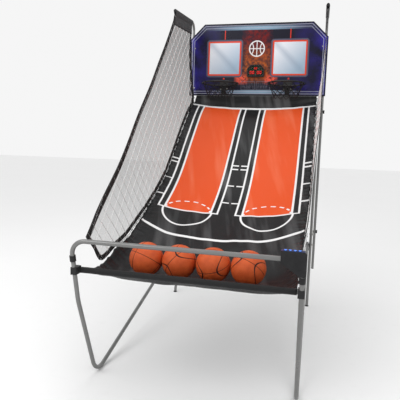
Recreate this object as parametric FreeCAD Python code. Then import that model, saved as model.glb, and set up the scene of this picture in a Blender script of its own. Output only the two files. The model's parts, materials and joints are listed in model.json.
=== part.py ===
import FreeCAD, Part
import math
import os

# Folding two-player basketball hoop machine.
# Frame: millimetres, +Z up, players stand at -Y, +X to the players' right.
# Origin: middle of the whole object on the floor.

os.makedirs("parts", exist_ok=True)

V = FreeCAD.Vector
X_AXIS = V(1, 0, 0)
Y_AXIS = V(0, 1, 0)
Z_AXIS = V(0, 0, 1)
SIDES = (("left", -1), ("right", 1))

# ---------------------------------------------------------------- driving dimensions
overall_length = 2055.0
tube_r = 10.0
tube_wall = 1.2

front_half_width = 483.0
front_bar_height = 700.0
corner_bend_r = 68.0
collar_drop = 84.0
knee_back = 66.0
knee_height = 418.0
knee_bend_r = 260.0
floor_bend_back = 298.0
floor_bend_r = 90.0
pivot_height = 425.0
arm_overrun = 22.0
lower_bar_height = 561.0

upright_half_spread = 518.5
upright_foot_height = 182.0
upright_top_height = 2100.0
upright_bend_r = 60.0
net_arm_length = 520.0
net_arm_fall = 46.0
rear_leg_setback = 407.0
top_joint_height = 1410.0
link_height = 500.0
link_thickness = 3.0
link_width = 18.0

board_side_reach = 7.5
board_bottom = 1527.0
board_top = 2081.0
board_thickness = 12.0
board_chamfer = 114.0

hoop_spacing = 500.0
hoop_height = 1600.0
rim_inner_r = 125.0
rim_rod_r = 6.0
rim_board_gap = 26.0
hoop_net_length = 104.0
hoop_net_mouth_r = 90.0
hoop_net_thickness = 3.0

score_width = 132.0
score_height = 92.0
score_depth = 26.0
score_middle_height = 1717.0
rear_box_width = 120.0
rear_box_height = 84.0
rear_box_depth = 34.0

ball_d = 163.0
ball_gap = 1.5
ball_row_shift = -12.0
ball_wall = 3.5
ball_back = 320.0
ball_count = 4

ramp_side_gap = 5.0
trough_side_gap = 19.0
cloth_thickness = 2.5
trough_end_back = 620.0
trough_end_height = 612.0
ramp_middle_back = 1200.0
ramp_middle_height = 880.0
ramp_top_height = 1492.0
trough_low_height = 487.0

net_thickness = 2.0
pocket_length = 445.0

button_count = 4
button_pitch = 18.0
button_length = 13.0
button_depth = 9.0
button_travel = 2.0

# clearances
fabric_gap = 0.3
running_gap = 0.05
fit_gap = 0.3
plane_gap = 2.2
plate_gap = 1.0

# ---------------------------------------------------------------- fixed by the values above
box_front_reach = 14.0
box_back_reach = 16.0
front_bar_y = -overall_length / 2 + box_front_reach
board_back_y = overall_length / 2 - rear_box_depth
board_front_y = board_back_y - board_thickness
upright_y = board_back_y + 1.0 + tube_r
link_gap = link_thickness + 1.0
rear_leg_x = upright_half_spread - 2 * tube_r - link_gap
arm_pivot_x = rear_leg_x - 2 * tube_r - plane_gap
leg_foot_y = upright_y - rear_leg_setback
leg_run = V(0, rear_leg_setback, top_joint_height)
cap_floor = 6.0


def rear_leg_y(height):
    """Y of the rear leg's centre line at a height."""
    return leg_foot_y + rear_leg_setback * height / top_joint_height


pivot_y = rear_leg_y(pivot_height)


# ---------------------------------------------------------------- small makers
def save(name, shape):
    """Write one node and say what it holds."""
    shape.exportStep("parts/" + name + ".step")
    print(name, "solids", len(shape.Solids), "volume cm3", round(shape.Volume / 1000, 2))


def group(shapes):
    """Several separate solids in one node."""
    return Part.makeCompound(shapes)


def box(x0, x1, y0, y1, z0, z1):
    return Part.makeBox(x1 - x0, y1 - y0, z1 - z0, V(x0, y0, z0))


def rod(start, end, radius):
    """Round bar between two points."""
    run = end - start
    return Part.makeCylinder(radius, run.Length, start, run)


def prism(outline, direction):
    """Closed flat outline of points pushed along a direction."""
    face = Part.Face(Part.makePolygon(outline + [outline[0]]))
    return face.extrude(direction)


def mirrored(shape):
    """The same piece on the other side of the middle plane."""
    return shape.mirror(V(0, 0, 0), X_AXIS)


def both_sides(shape):
    """Left and right copy of a right-hand piece."""
    return group([mirrored(shape), shape])


def side_piece(shape, sign):
    return shape if sign > 0 else mirrored(shape)


def bent_path(points, radii):
    """Centre line of a bent tube: straight runs joined by tangent arcs."""
    edges = []
    at = points[0]
    for before, corner, after, radius in zip(points, points[1:], points[2:], radii):
        to_before = (before - corner).normalize()
        to_after = (after - corner).normalize()
        half = to_before.getAngle(to_after) / 2
        reach = radius / math.tan(half)
        start = corner + to_before * reach
        end = corner + to_after * reach
        inward = (to_before + to_after).normalize()
        middle = corner + inward * (radius / math.sin(half) - radius)
        edges.append(Part.makeLine(at, start))
        edges.append(Part.Arc(start, middle, end).toShape())
        at = end
    edges.append(Part.makeLine(at, points[-1]))
    return Part.Wire(edges)


def swept(path, radius):
    """Round bar along a path."""
    first = path.OrderedEdges[0]
    start = first.valueAt(first.FirstParameter)
    along = first.tangentAt(first.FirstParameter)
    ring = Part.Wire(Part.makeCircle(radius, start, along))
    return path.makePipeShell([ring], True, False)


def bent_tube(path, radius=tube_r, wall=tube_wall):
    return swept(path, radius).cut(swept(path, radius - wall))


def straight_tube(start, end, radius=tube_r, wall=tube_wall):
    return rod(start, end, radius).cut(rod(start, end, radius - wall))


def tube_cap(end, outward, radius=tube_r, plug=14.0, rim=4.0):
    """Moulded cap: a plug inside the tube's end and a domed rim over it."""
    unit = V(outward).normalize()
    inner = rod(end - unit * plug, end, radius - tube_wall - fit_gap / 3)
    cover = rod(end, end + unit * rim, radius)
    rounded = [e for e in cover.Edges if e.CenterOfMass.distanceToPoint(end + unit * rim) < 0.01]
    return inner.fuse(cover.makeFillet(rim * 0.6, rounded))


def hex_bolt(start, end, shank_r, head_r, head_t, nut_t):
    """Bolt through a stack: head outside start, nut outside end."""
    unit = (end - start).normalize()
    shank = rod(start - unit * head_t / 2, end + unit * (nut_t + 2), shank_r)
    head = hexagon(start, unit * -1, head_r, head_t)
    nut = hexagon(end, unit, head_r, nut_t)
    return shank.fuse(head).fuse(nut)


def hexagon(centre, direction, corner_r, height):
    """Hexagonal head standing on a point along a direction."""
    points = []
    for k in range(6):
        turn = math.radians(60 * k)
        points.append(V(corner_r * math.cos(turn), corner_r * math.sin(turn), 0))
    shape = prism(points, V(0, 0, height))
    shape.Placement = FreeCAD.Placement(centre, FreeCAD.Rotation(Z_AXIS, direction))
    return shape


def grip_knob(centre, direction, radius, height):
    """Round knob with six finger scallops."""
    body = Part.makeCylinder(radius, height)
    for k in range(6):
        turn = math.radians(60 * k)
        spot = V(radius * 1.12 * math.cos(turn), radius * 1.12 * math.sin(turn), -1)
        body = body.cut(Part.makeCylinder(radius * 0.28, height + 2, spot))
    body.Placement = FreeCAD.Placement(centre, FreeCAD.Rotation(Z_AXIS, direction))
    return body


# ---------------------------------------------------------------- front frame
toe_angle = math.degrees(math.atan2(front_half_width - arm_pivot_x, pivot_y - front_bar_y))


def toed(shape):
    """Turn a piece drawn in the X = 0 plane into the right leg's plane."""
    shape.rotate(V(0, 0, 0), Z_AXIS, toe_angle)
    shape.translate(V(front_half_width, front_bar_y, 0))
    return shape


def toed_point(point):
    turned = FreeCAD.Rotation(Z_AXIS, toe_angle).multVec(point)
    return turned + V(front_half_width, front_bar_y, 0)


leg_plane_reach = math.hypot(front_half_width - arm_pivot_x, pivot_y - front_bar_y)
corner_2d = V(0, 0, front_bar_height)
knee_2d = V(0, knee_back, knee_height)
drop_way = (knee_2d - corner_2d).normalize()
collar_2d = corner_2d + drop_way * collar_drop
floor_centre = V(0, floor_bend_back, floor_bend_r + tube_r)
pivot_2d = V(0, leg_plane_reach, pivot_height)


def touch_point(outside, centre, radius, way):
    """Where a line from a point touches a circle in the X = 0 plane."""
    run = outside - centre
    reach = run.Length
    along = math.atan2(run.z, run.y)
    turn = along + way * math.acos(radius / reach)
    return centre + V(0, radius * math.cos(turn), radius * math.sin(turn))


def leg_lines():
    """Corner points of the V leg's centre line, and its two bend radii."""
    front_touch = touch_point(knee_2d, floor_centre, floor_bend_r, 1)
    rear_touch = touch_point(pivot_2d, floor_centre, floor_bend_r, -1)
    front_run = (front_touch - knee_2d).normalize()
    rear_run = (rear_touch - pivot_2d).normalize()
    half = (front_run * -1).getAngle(rear_run * -1) / 2
    apex = rear_touch + rear_run * (floor_bend_r / math.tan(half))
    end = pivot_2d - rear_run * arm_overrun
    return [collar_2d, knee_2d, apex, end], [knee_bend_r, floor_bend_r]


leg_points, leg_radii = leg_lines()
arm_way = (leg_points[3] - leg_points[2]).normalize()


def bolt_across(x0, x1, y, z, shank_r=3.0, head_r=6.0, head_t=3.0, nut_t=4.0):
    return hex_bolt(V(x0, y, z), V(x1, y, z), shank_r, head_r, head_t, nut_t)


def hole_across(x0, x1, y, z, radius):
    return rod(V(x0 - 40, y, z), V(x1 + 40, y, z), radius)


pivot_bolt_r = 3.0

leg = toed(bent_tube(bent_path(leg_points, leg_radii)))
leg = leg.cut(hole_across(arm_pivot_x - 15, arm_pivot_x + 8, pivot_y, pivot_height,
                          pivot_bolt_r + running_gap))
leg_end = toed_point(leg_points[3])
leg_end_way = FreeCAD.Rotation(Z_AXIS, toe_angle).multVec(arm_way)
collar_right = toed_point(collar_2d)
drop_right = FreeCAD.Rotation(Z_AXIS, toe_angle).multVec(drop_way)

corner_right = toed_point(corner_2d)
corner_left = V(-corner_right.x, corner_right.y, corner_right.z)
collar_left = V(-collar_right.x, collar_right.y, collar_right.z)
spigot_length = 30.0
spigot_r = tube_r - tube_wall - 0.1

bar_path = bent_path([collar_left, corner_left, corner_right, collar_right],
                     [corner_bend_r, corner_bend_r])
front_bar = bent_tube(bar_path)
spigot = straight_tube(collar_right - drop_right * 12, collar_right + drop_right * spigot_length,
                       spigot_r)
sleeve_plug = rod(collar_right - drop_right * 12, collar_right, tube_r - tube_wall + 0.1)
sleeve_plug = sleeve_plug.cut(rod(collar_right - drop_right * 13, collar_right + drop_right,
                                  spigot_r - tube_wall))
front_bar = front_bar.fuse([spigot, mirrored(spigot), sleeve_plug, mirrored(sleeve_plug)])

collar_outer_r = tube_r + 3.5
collar = rod(collar_right - drop_right * 13, collar_right + drop_right * 13, collar_outer_r)
collar = collar.cut(rod(collar_right - drop_right * 14, collar_right + drop_right * 14,
                        tube_r + running_gap))

lower_bar_leg_y = front_bar_y + knee_back * (front_bar_height - lower_bar_height) / (
    front_bar_height - knee_height)
lower_bar_y = lower_bar_leg_y + 2 * tube_r + 2.0
lower_bar_end = front_half_width + 8.0
lower_bar = straight_tube(V(-lower_bar_end, lower_bar_y, lower_bar_height),
                          V(lower_bar_end, lower_bar_y, lower_bar_height))
lower_bar_caps = both_sides(tube_cap(V(lower_bar_end, lower_bar_y, lower_bar_height), X_AXIS))


def lower_bar_bracket():
    """Moulded block that holds the lower bar's end against the leg."""
    half_w = tube_r + 5.0
    half_h = tube_r + 6.0
    block = box(front_half_width - half_w, front_half_width + half_w - 3,
                lower_bar_leg_y - tube_r - 4, lower_bar_y + tube_r + 4,
                lower_bar_height - half_h, lower_bar_height + half_h)
    block = block.makeFillet(3.0, [e for e in block.Edges if abs(e.tangentAt(0).z) > 0.9])
    leg_bore = rod(corner_right, toed_point(knee_2d), tube_r + running_gap)
    bar_bore = rod(V(0, lower_bar_y, lower_bar_height), V(600, lower_bar_y, lower_bar_height),
                   tube_r + running_gap)
    return block.cut(leg_bore).cut(bar_bore)


save("front_bar", front_bar)
for side, sign in SIDES:
    save(side + "_front_leg", side_piece(leg, sign))
save("leg_collars", both_sides(collar))
save("leg_arm_caps", both_sides(tube_cap(leg_end, leg_end_way)))
save("lower_front_bar", lower_bar)
save("lower_bar_caps", lower_bar_caps)
save("lower_bar_brackets", both_sides(lower_bar_bracket()))

# ---------------------------------------------------------------- rear legs and uprights
rear_leg_over = 24.0
leg_unit = V(leg_run).normalize()
foot_point = V(rear_leg_x, leg_foot_y, 0)
leg_low = foot_point + leg_unit * cap_floor
leg_high = V(rear_leg_x, upright_y, top_joint_height) + leg_unit * rear_leg_over
link_front_y = rear_leg_y(link_height)

rear_leg = straight_tube(leg_low, leg_high)
for hole_y, hole_z in ((pivot_y, pivot_height), (link_front_y, link_height),
                       (upright_y, top_joint_height)):
    rear_leg = rear_leg.cut(hole_across(rear_leg_x, rear_leg_x, hole_y, hole_z,
                                        pivot_bolt_r + running_gap))

net_arm_tip = V(upright_half_spread, upright_y - net_arm_length, upright_top_height - net_arm_fall)
upright_points = [V(upright_half_spread, upright_y, upright_foot_height),
                  V(upright_half_spread, upright_y, upright_top_height), net_arm_tip]
upright = bent_tube(bent_path(upright_points, [upright_bend_r]))
upright_link_z = link_height - 22.0
for hole_z in (upright_link_z, top_joint_height):
    upright = upright.cut(hole_across(upright_half_spread, upright_half_spread, upright_y, hole_z,
                                      pivot_bolt_r + running_gap))
net_arm_way = (net_arm_tip - upright_points[1]).normalize()


def rear_foot_cap():
    """Plug in the rear leg's end with a sole cut level with the floor."""
    flange_r = tube_r + 2.5
    plug = rod(leg_low, leg_low + leg_unit * 20, tube_r - tube_wall - 0.1)
    sole = rod(leg_low - leg_unit * 12, leg_low, flange_r)
    below = box(rear_leg_x - 60, rear_leg_x + 60, leg_foot_y - 60, leg_foot_y + 60, -60, 0)
    return plug.fuse(sole).cut(below)


def side_link():
    """Flat strip that keeps the rear leg and the upright apart."""
    x0 = rear_leg_x + tube_r + (link_gap - link_thickness) / 2
    front = V(x0, link_front_y, link_height)
    back = V(x0, upright_y, upright_link_z)
    run = back - front
    side_way = V(0, -run.z, run.y).normalize() * (link_width / 2)
    strip = prism([front + side_way, back + side_way, back - side_way, front - side_way],
                  X_AXIS * link_thickness)
    for point in (front, back):
        strip = strip.fuse(Part.makeCylinder(link_width / 2, link_thickness, point, X_AXIS))
    for point in (front, back):
        strip = strip.cut(hole_across(point.x, point.x, point.y, point.z,
                                      pivot_bolt_r + running_gap))
    return strip


def joint_spacer():
    """Washer that fills the gap between leg and upright at the top joint."""
    start = V(rear_leg_x + tube_r, upright_y, top_joint_height)
    ring = Part.makeCylinder(8.0, link_gap, start, X_AXIS)
    return ring.cut(hole_across(start.x, start.x, start.y, start.z, pivot_bolt_r + running_gap))


knob_r = 13.0
knob_t = 10.0
outer_x = upright_half_spread + tube_r


def joint_bolt(y, z, x0, x1):
    """Bolt shank and head; its knob or nut is a piece of its own."""
    shank = rod(V(x0 - 1.5, y, z), V(x1 + knob_t * 0.7, y, z), pivot_bolt_r)
    return shank.fuse(hexagon(V(x0, y, z), X_AXIS * -1, 6.0, 3.0))


def bolt_knob(y, z, x0):
    knob = grip_knob(V(x0, y, z), X_AXIS, knob_r, knob_t)
    return knob.cut(rod(V(x0 - 1, y, z), V(x0 + knob_t * 0.72, y, z), pivot_bolt_r + 0.02))


frame_bolts = []
frame_knobs = []
frame_bolts.append(joint_bolt(upright_y, top_joint_height, rear_leg_x - tube_r, outer_x))
frame_knobs.append(bolt_knob(upright_y, top_joint_height, outer_x))
frame_bolts.append(joint_bolt(upright_y, upright_link_z, rear_leg_x + tube_r + 0.4, outer_x))
frame_knobs.append(bolt_knob(upright_y, upright_link_z, outer_x))
link_bolt = bolt_across(rear_leg_x - tube_r, rear_leg_x + tube_r + link_gap - 0.5,
                        link_front_y, link_height, nut_t=4.0)
pivot_bolt = bolt_across(arm_pivot_x - tube_r - fit_gap, rear_leg_x + tube_r, pivot_y, pivot_height,
                         head_r=7.0, head_t=4.0, nut_t=5.0)
frame_bolts.append(link_bolt)


def stop_bracket():
    """Plate on the rear leg with a lip under the front leg's arm, which stops the fold."""
    plate_t = plane_gap - plate_gap
    plate_x = rear_leg_x - tube_r - plate_t
    pivot = V(plate_x, pivot_y, pivot_height)
    forward = V(0, -arm_way.y, -arm_way.z).normalize()
    down = V(0, forward.z, -forward.y).normalize()
    if down.z > 0:
        down = down * -1
    reach = 70.0
    lip_drop = tube_r + fit_gap + 0.3
    lip_t = 2.5
    outline = [pivot - forward * 14 - down * 12, pivot + forward * reach - down * 4,
               pivot + forward * reach + down * (lip_drop + lip_t),
               pivot - forward * 14 + down * (lip_drop + lip_t)]
    plate = prism(outline, X_AXIS * plate_t)
    lip_start = pivot + forward * 34 + down * lip_drop
    lip = prism([lip_start, lip_start + forward * (reach - 34),
                 lip_start + forward * (reach - 34) + down * lip_t, lip_start + down * lip_t],
                X_AXIS * -(2 * tube_r - 3.0))
    hole = hole_across(plate_x, plate_x, pivot_y, pivot_height, pivot_bolt_r + running_gap)
    return plate.fuse(lip).cut(hole)


for side, sign in SIDES:
    save(side + "_rear_leg", side_piece(rear_leg, sign))
    save(side + "_upright", side_piece(upright, sign))
save("rear_foot_caps", both_sides(rear_foot_cap()))
save("upright_end_caps", both_sides(tube_cap(upright_points[0], Z_AXIS * -1)))
save("net_arm_caps", both_sides(tube_cap(net_arm_tip, net_arm_way)))
save("side_links", both_sides(side_link()))
save("joint_spacers", both_sides(joint_spacer()))
save("frame_bolts", group([mirrored(b) for b in frame_bolts] + frame_bolts))
save("frame_knobs", group([mirrored(k) for k in frame_knobs] + frame_knobs))
save("pivot_bolts", both_sides(pivot_bolt))
save("stop_brackets", both_sides(stop_bracket()))

# ---------------------------------------------------------------- backboard
half_board = upright_half_spread + tube_r + board_side_reach
board_outline = [V(-half_board, board_front_y, board_bottom), V(half_board, board_front_y, board_bottom),
                 V(half_board, board_front_y, board_top - board_chamfer),
                 V(half_board - board_chamfer, board_front_y, board_top),
                 V(-half_board + board_chamfer, board_front_y, board_top),
                 V(-half_board, board_front_y, board_top - board_chamfer)]
board = prism(board_outline, Y_AXIS * board_thickness)

bracket_heights = (board_bottom + 60, board_top - board_chamfer - 70)
bracket_t = 2.0
screw_r = 2.0


def board_bracket(height):
    """Strap round the upright with two flat ears on the board's back."""
    half_h = 12.0
    ear = 22.0
    inner = tube_r + running_gap
    strap = rod(V(upright_half_spread, upright_y, height - half_h),
                V(upright_half_spread, upright_y, height + half_h), inner + bracket_t)
    x0 = upright_half_spread - inner - bracket_t
    ear_inner = box(x0 - ear, x0 + bracket_t, board_back_y, board_back_y + bracket_t,
                    height - half_h, height + half_h)
    bridge = box(x0, x0 + 2 * (inner + bracket_t), board_back_y, upright_y,
                 height - half_h, height + half_h)
    hollow = rod(V(upright_half_spread, upright_y, height - 30),
                 V(upright_half_spread, upright_y, height + 30), inner)
    keep = box(x0 - ear - 1, half_board + 40, board_back_y, board_back_y + 60,
               height - half_h - 1, height + half_h + 1)
    piece = strap.fuse(bridge).fuse(ear_inner).common(keep).cut(hollow)
    screw_x = x0 - ear / 2
    return piece.cut(rod(V(screw_x, board_back_y - 1, height), V(screw_x, board_back_y + 9, height),
                         screw_r + running_gap)), screw_x


brackets = []
board_screws = []
for height in bracket_heights:
    bracket, screw_x = board_bracket(height)
    brackets.append(bracket)
    start = V(screw_x, board_front_y - 1.6, height)
    board = board.cut(rod(start, V(screw_x, board_back_y + 1, height), screw_r + running_gap))
    board = board.cut(rod(V(-screw_x, start.y, height), V(-screw_x, board_back_y + 1, height),
                          screw_r + running_gap))
    screw = rod(start, V(screw_x, board_back_y + 9, height), screw_r)
    head = rod(V(screw_x, board_front_y - 2.2, height), V(screw_x, board_front_y, height), 4.2)
    nut = hexagon(V(screw_x, board_back_y + bracket_t, height), Y_AXIS, 4.4, 3.2)
    board_screws.append(screw.fuse(head).fuse(nut))

# ---------------------------------------------------------------- hoops
rim_mid_r = rim_inner_r + rim_rod_r
hoop_y = board_front_y - rim_board_gap - rim_mid_r - rim_rod_r
plate_t = 3.0
plate_half_w = 34.0
plate_half_h = 38.0


def hoop(x):
    """Rim ring with two stays welded to a plate on the board."""
    ring = Part.makeTorus(rim_mid_r, rim_rod_r, V(x, hoop_y, hoop_height), Z_AXIS)
    plate_y = board_front_y - plate_t
    plate_low = hoop_height - plate_half_h + 8
    plate = box(x - plate_half_w, x + plate_half_w, plate_y, board_front_y,
                plate_low, plate_low + 2 * plate_half_h)
    shape = ring.fuse(plate)
    for turn in (-22, 22):
        side = math.radians(turn)
        spot = V(x + rim_mid_r * math.sin(side), hoop_y + rim_mid_r * math.cos(side), hoop_height)
        shape = shape.fuse(rod(spot, V(x + plate_half_w * 0.7 * (1 if turn > 0 else -1),
                                       plate_y + 1, hoop_height + 3), rim_rod_r - 1))
    shape = shape.fuse(rod(V(x, hoop_y + rim_mid_r, hoop_height),
                           V(x, plate_y + 1, hoop_height - 22), rim_rod_r - 1))
    shape = shape.cut(box(x - 60, x + 60, board_front_y, board_back_y, plate_low - 20, plate_low + 120))
    for bolt_x, bolt_z in hoop_bolt_places(x):
        shape = shape.cut(rod(V(bolt_x, plate_y - 1, bolt_z), V(bolt_x, board_front_y + 1, bolt_z),
                              screw_r + running_gap))
    return shape


def hoop_bolt_places(x):
    """Four bolts through the hoop's plate."""
    low = hoop_height - plate_half_h + 8 + 8
    high = low + 2 * plate_half_h - 16
    inset = plate_half_w - 8
    return [(x - inset, low), (x + inset, low), (x - inset, high), (x + inset, high)]


def hoop_net(x):
    """Open bag of netting that hangs under the rim, drawn as a thin tapered sleeve."""
    top = hoop_height - rim_rod_r - 2 * fabric_gap
    low = top - hoop_net_length
    axis_low = V(x, hoop_y, low)
    outer = Part.makeCone(hoop_net_mouth_r + hoop_net_thickness, rim_mid_r + hoop_net_thickness / 2,
                          hoop_net_length, axis_low)
    inner = Part.makeCone(hoop_net_mouth_r, rim_mid_r - hoop_net_thickness / 2,
                          hoop_net_length, axis_low)
    return outer.cut(inner)


hoop_bolts = []
for side, sign in SIDES:
    hoop_x = sign * hoop_spacing / 2
    for bolt_x, bolt_z in hoop_bolt_places(hoop_x):
        board = board.cut(rod(V(bolt_x, board_front_y - 1, bolt_z),
                              V(bolt_x, board_back_y + 1, bolt_z), screw_r + running_gap))
        hoop_bolts.append(hex_bolt(V(bolt_x, board_front_y - plate_t, bolt_z),
                                   V(bolt_x, board_back_y, bolt_z), screw_r, 4.4, 2.4, 3.2))
    save(side + "_hoop", hoop(hoop_x))
    save(side + "_hoop_net", hoop_net(hoop_x))
save("hoop_bolts", group(hoop_bolts))

sensor_w = 36.0
sensor_h = 39.0
sensor_d = 20.0
sensor_wall = 2.0
sensor_top = hoop_height - plate_half_h + 8 - 2


def sensor_housing(x):
    """Case of the scoring sensor, open at the board, with a slot that the beam leaves by."""
    low = sensor_top - sensor_h
    front = board_front_y - sensor_d
    case = box(x - sensor_w / 2, x + sensor_w / 2, front, board_front_y, low, sensor_top)
    case = case.makeFillet(3.0, [e for e in case.Edges if e.CenterOfMass.y < front + 1])
    hollow = box(x - sensor_w / 2 + sensor_wall, x + sensor_w / 2 - sensor_wall,
                 front + sensor_wall, board_front_y + 1, low + sensor_wall, sensor_top - sensor_wall)
    slot = box(x - 8, x + 8, front - 1, front + sensor_wall + 1, low + 18, low + 26)
    return case.cut(hollow).cut(slot)


def sensor_board(x):
    low = sensor_top - sensor_h
    plate = box(x - 14, x + 14, board_front_y - 5.6, board_front_y - 4, low + 5, sensor_top - 5)
    eye = rod(V(x, board_front_y - 5.6, low + 22), V(x, board_front_y - 14, low + 22), 2.5)
    post = box(x - 3, x + 3, board_front_y - 4, board_front_y, low + 8, low + 14)
    return plate.fuse(eye).fuse(post)


for side, sign in SIDES:
    save(side + "_score_sensor", sensor_housing(sign * hoop_spacing / 2))
save("sensor_circuit_boards", group([sensor_board(-hoop_spacing / 2), sensor_board(hoop_spacing / 2)]))

# ---------------------------------------------------------------- score unit
score_wall = 2.5
score_corner = 30.0


def crested(half_w, half_h, corner, y):
    """Flat outline facing the players, with its two top corners cut off."""
    z = score_middle_height
    spots = [(-half_w, -half_h), (half_w, -half_h), (half_w, half_h - corner),
             (half_w - corner, half_h), (-half_w + corner, half_h), (-half_w, half_h - corner)]
    return [V(px, y, z + pz) for px, pz in spots]


half_sw = score_width / 2
half_sh = score_height / 2
score_front_y = board_front_y - score_depth
score_case = prism(crested(half_sw, half_sh, score_corner, score_front_y), Y_AXIS * score_depth)
score_hollow = prism(crested(half_sw - score_wall, half_sh - score_wall, score_corner - 1,
                             score_front_y + score_wall), Y_AXIS * score_depth)
window_half_w = half_sw - 9
window_half_h = half_sh - 9
window_corner = score_corner - 5
score_window = prism(crested(window_half_w, window_half_h, window_corner, score_front_y - 1),
                     Y_AXIS * (score_wall + 2))
score_case = score_case.cut(score_hollow).cut(score_window)
lens_t = 1.5
lens_y = score_front_y + score_wall
score_lens = prism(crested(window_half_w + 4, window_half_h + 4, window_corner, lens_y),
                   Y_AXIS * lens_t)
lens_face = prism(crested(window_half_w - fit_gap, window_half_h - fit_gap, window_corner,
                          score_front_y + 0.8), Y_AXIS * (score_wall - 0.8))
score_lens = score_lens.fuse(lens_face)
digit_y = lens_y + lens_t + 1.0
digit_t = 7.0
score_digit_w = 44.0
score_digit_h = 30.0
score_digit_x = 28.0
score_digit_drop = 14.0
timer_digit_w = 30.0
timer_digit_h = 18.0
timer_digit_rise = 18.0


def digit_block(middle_x, middle_z, width, height):
    """Moulded block of two digits, standing on the circuit board."""
    return box(middle_x - width / 2, middle_x + width / 2, digit_y, digit_y + digit_t,
               middle_z - height / 2, middle_z + height / 2)


digits = [digit_block(x, score_middle_height - score_digit_drop, score_digit_w, score_digit_h)
          for x in (-score_digit_x, score_digit_x)]
digits.append(digit_block(0, score_middle_height + timer_digit_rise, timer_digit_w, timer_digit_h))
score_pcb_y = digit_y + digit_t
pcb_t = 1.6
score_pcb = prism(crested(half_sw - 7, half_sh - 7, score_corner, score_pcb_y), Y_AXIS * pcb_t)
for px in (-1, 1):
    post_x = px * (half_sw - 22)
    score_pcb = score_pcb.fuse(rod(V(post_x, score_pcb_y + pcb_t, score_middle_height),
                                   V(post_x, board_front_y, score_middle_height), 3.0))

box_low = score_middle_height - rear_box_height / 2
box_high = box_low + rear_box_height
half_bw = rear_box_width / 2
rear_wall = 2.2
door_t = 2.0
door_half_w = half_bw - 9
door_low = box_low + 8
door_high = box_low + 52
rear_back_y = board_back_y + rear_box_depth
battery_box = box(-half_bw, half_bw, board_back_y, rear_back_y, box_low, box_high)
battery_box = battery_box.makeFillet(4.0, [e for e in battery_box.Edges
                                           if e.CenterOfMass.y > rear_back_y - 1])
battery_box = battery_box.cut(box(-half_bw + rear_wall, half_bw - rear_wall, board_back_y - 1,
                                  rear_back_y - rear_wall - door_t - 1, box_low + rear_wall,
                                  box_high - rear_wall))
battery_box = battery_box.cut(box(-door_half_w, door_half_w, rear_back_y - door_t - 0.2,
                                  rear_back_y + 1, door_low, door_high))
battery_box = battery_box.cut(box(-door_half_w + 5, door_half_w - 5, board_back_y + 5,
                                  rear_back_y + 1, door_low + 5, door_high - 5))
battery_door = box(-door_half_w + fit_gap, door_half_w - fit_gap, rear_back_y - door_t,
                   rear_back_y, door_low + fit_gap, door_high - fit_gap)
for k in range(4):
    rib_z = door_low + 10 + 4 * k
    battery_door = battery_door.cut(box(-12, 12, rear_back_y - 0.6, rear_back_y + 1,
                                        rib_z, rib_z + 1.6))
cell_r = 7.2
cell_length = 50.5
cells = []
for k in (-1, 0, 1):
    cell_z = (door_low + door_high) / 2 + 13 * k
    cells.append(rod(V(-cell_length / 2, board_back_y + 16, cell_z),
                     V(cell_length / 2, board_back_y + 16, cell_z), cell_r * 0.85))
cell_tray = box(-cell_length / 2 - 4, cell_length / 2 + 4, board_back_y, board_back_y + 9.6,
                door_low + 1, door_high - 1)
speaker_r = 13.0
speaker_cone = 10.0
speaker_z = box_high - rear_wall - speaker_r - 4
speaker = Part.makeCone(speaker_r, speaker_r * 0.6, speaker_cone, V(0, board_back_y, speaker_z), Y_AXIS)
speaker = speaker.fuse(Part.makeCylinder(speaker_r * 0.55, 6.0,
                                         V(0, board_back_y + speaker_cone, speaker_z), Y_AXIS))


def cable_gland(foot, direction):
    """Tapered sleeve that a cable would leave the case by."""
    gland_r = 4.5
    gland_length = 16.0
    cone = Part.makeCone(gland_r, gland_r * 0.66, gland_length, foot, direction)
    return cone.cut(rod(foot - direction, foot + direction * (gland_length + 1), gland_r * 0.45))


score_gland = cable_gland(V(-half_bw + 20, board_back_y + 14, box_low), Z_AXIS * -1)

save("backboard", board)
save("board_brackets", group([mirrored(b) for b in brackets] + brackets))
save("board_screws", group([mirrored(s) for s in board_screws] + board_screws))
save("score_housing", score_case)
save("score_lens", score_lens)
save("score_digits", group(digits))
save("score_circuit_board", score_pcb)
save("battery_box", battery_box)
save("battery_door", battery_door)
save("batteries", group(cells))
save("battery_tray", cell_tray)
save("speaker", speaker)
save("score_box_gland", score_gland)

# ---------------------------------------------------------------- ramp and trough cloth
ramp_half_width = front_half_width - ramp_side_gap
trough_half_width = front_half_width - trough_side_gap
hem_r = tube_r + fabric_gap
trough_low_y = front_bar_y + ball_back
trough_end_y = front_bar_y + trough_end_back


def band(points, start_x, end_x, thickness):
    """Sheet whose top follows a curve through three points, drawn across the width."""
    low, middle, high = points
    drop = V(0, 0, -thickness)
    top = Part.Arc(low, middle, high).toShape()
    under = Part.Arc(low + drop, middle + drop, high + drop).toShape()
    ends = [Part.makeLine(low, low + drop), Part.makeLine(high, high + drop)]
    face = Part.Face(Part.Wire(Part.__sortEdges__([top, under] + ends)))
    sheet = face.extrude(V(end_x - start_x, 0, 0))
    sheet.translate(V(start_x - low.x, 0, 0))
    return sheet


def trough_cloth():
    """Hem sleeve round the lower bar and the sagging pocket that the balls lie in."""
    reach = (hem_r + cloth_thickness / 2) * math.sqrt(0.5)
    start = V(0, lower_bar_y + reach, lower_bar_height - reach)
    sheet = band([start, V(0, trough_low_y, trough_low_height),
                  V(0, trough_end_y, trough_end_height)],
                 -trough_half_width, trough_half_width, cloth_thickness)
    left = V(-trough_half_width, lower_bar_y, lower_bar_height)
    right = V(trough_half_width, lower_bar_y, lower_bar_height)
    sleeve = rod(left, right, hem_r + cloth_thickness)
    return sheet.fuse(sleeve).cut(rod(left - X_AXIS, right + X_AXIS, hem_r))


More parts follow.
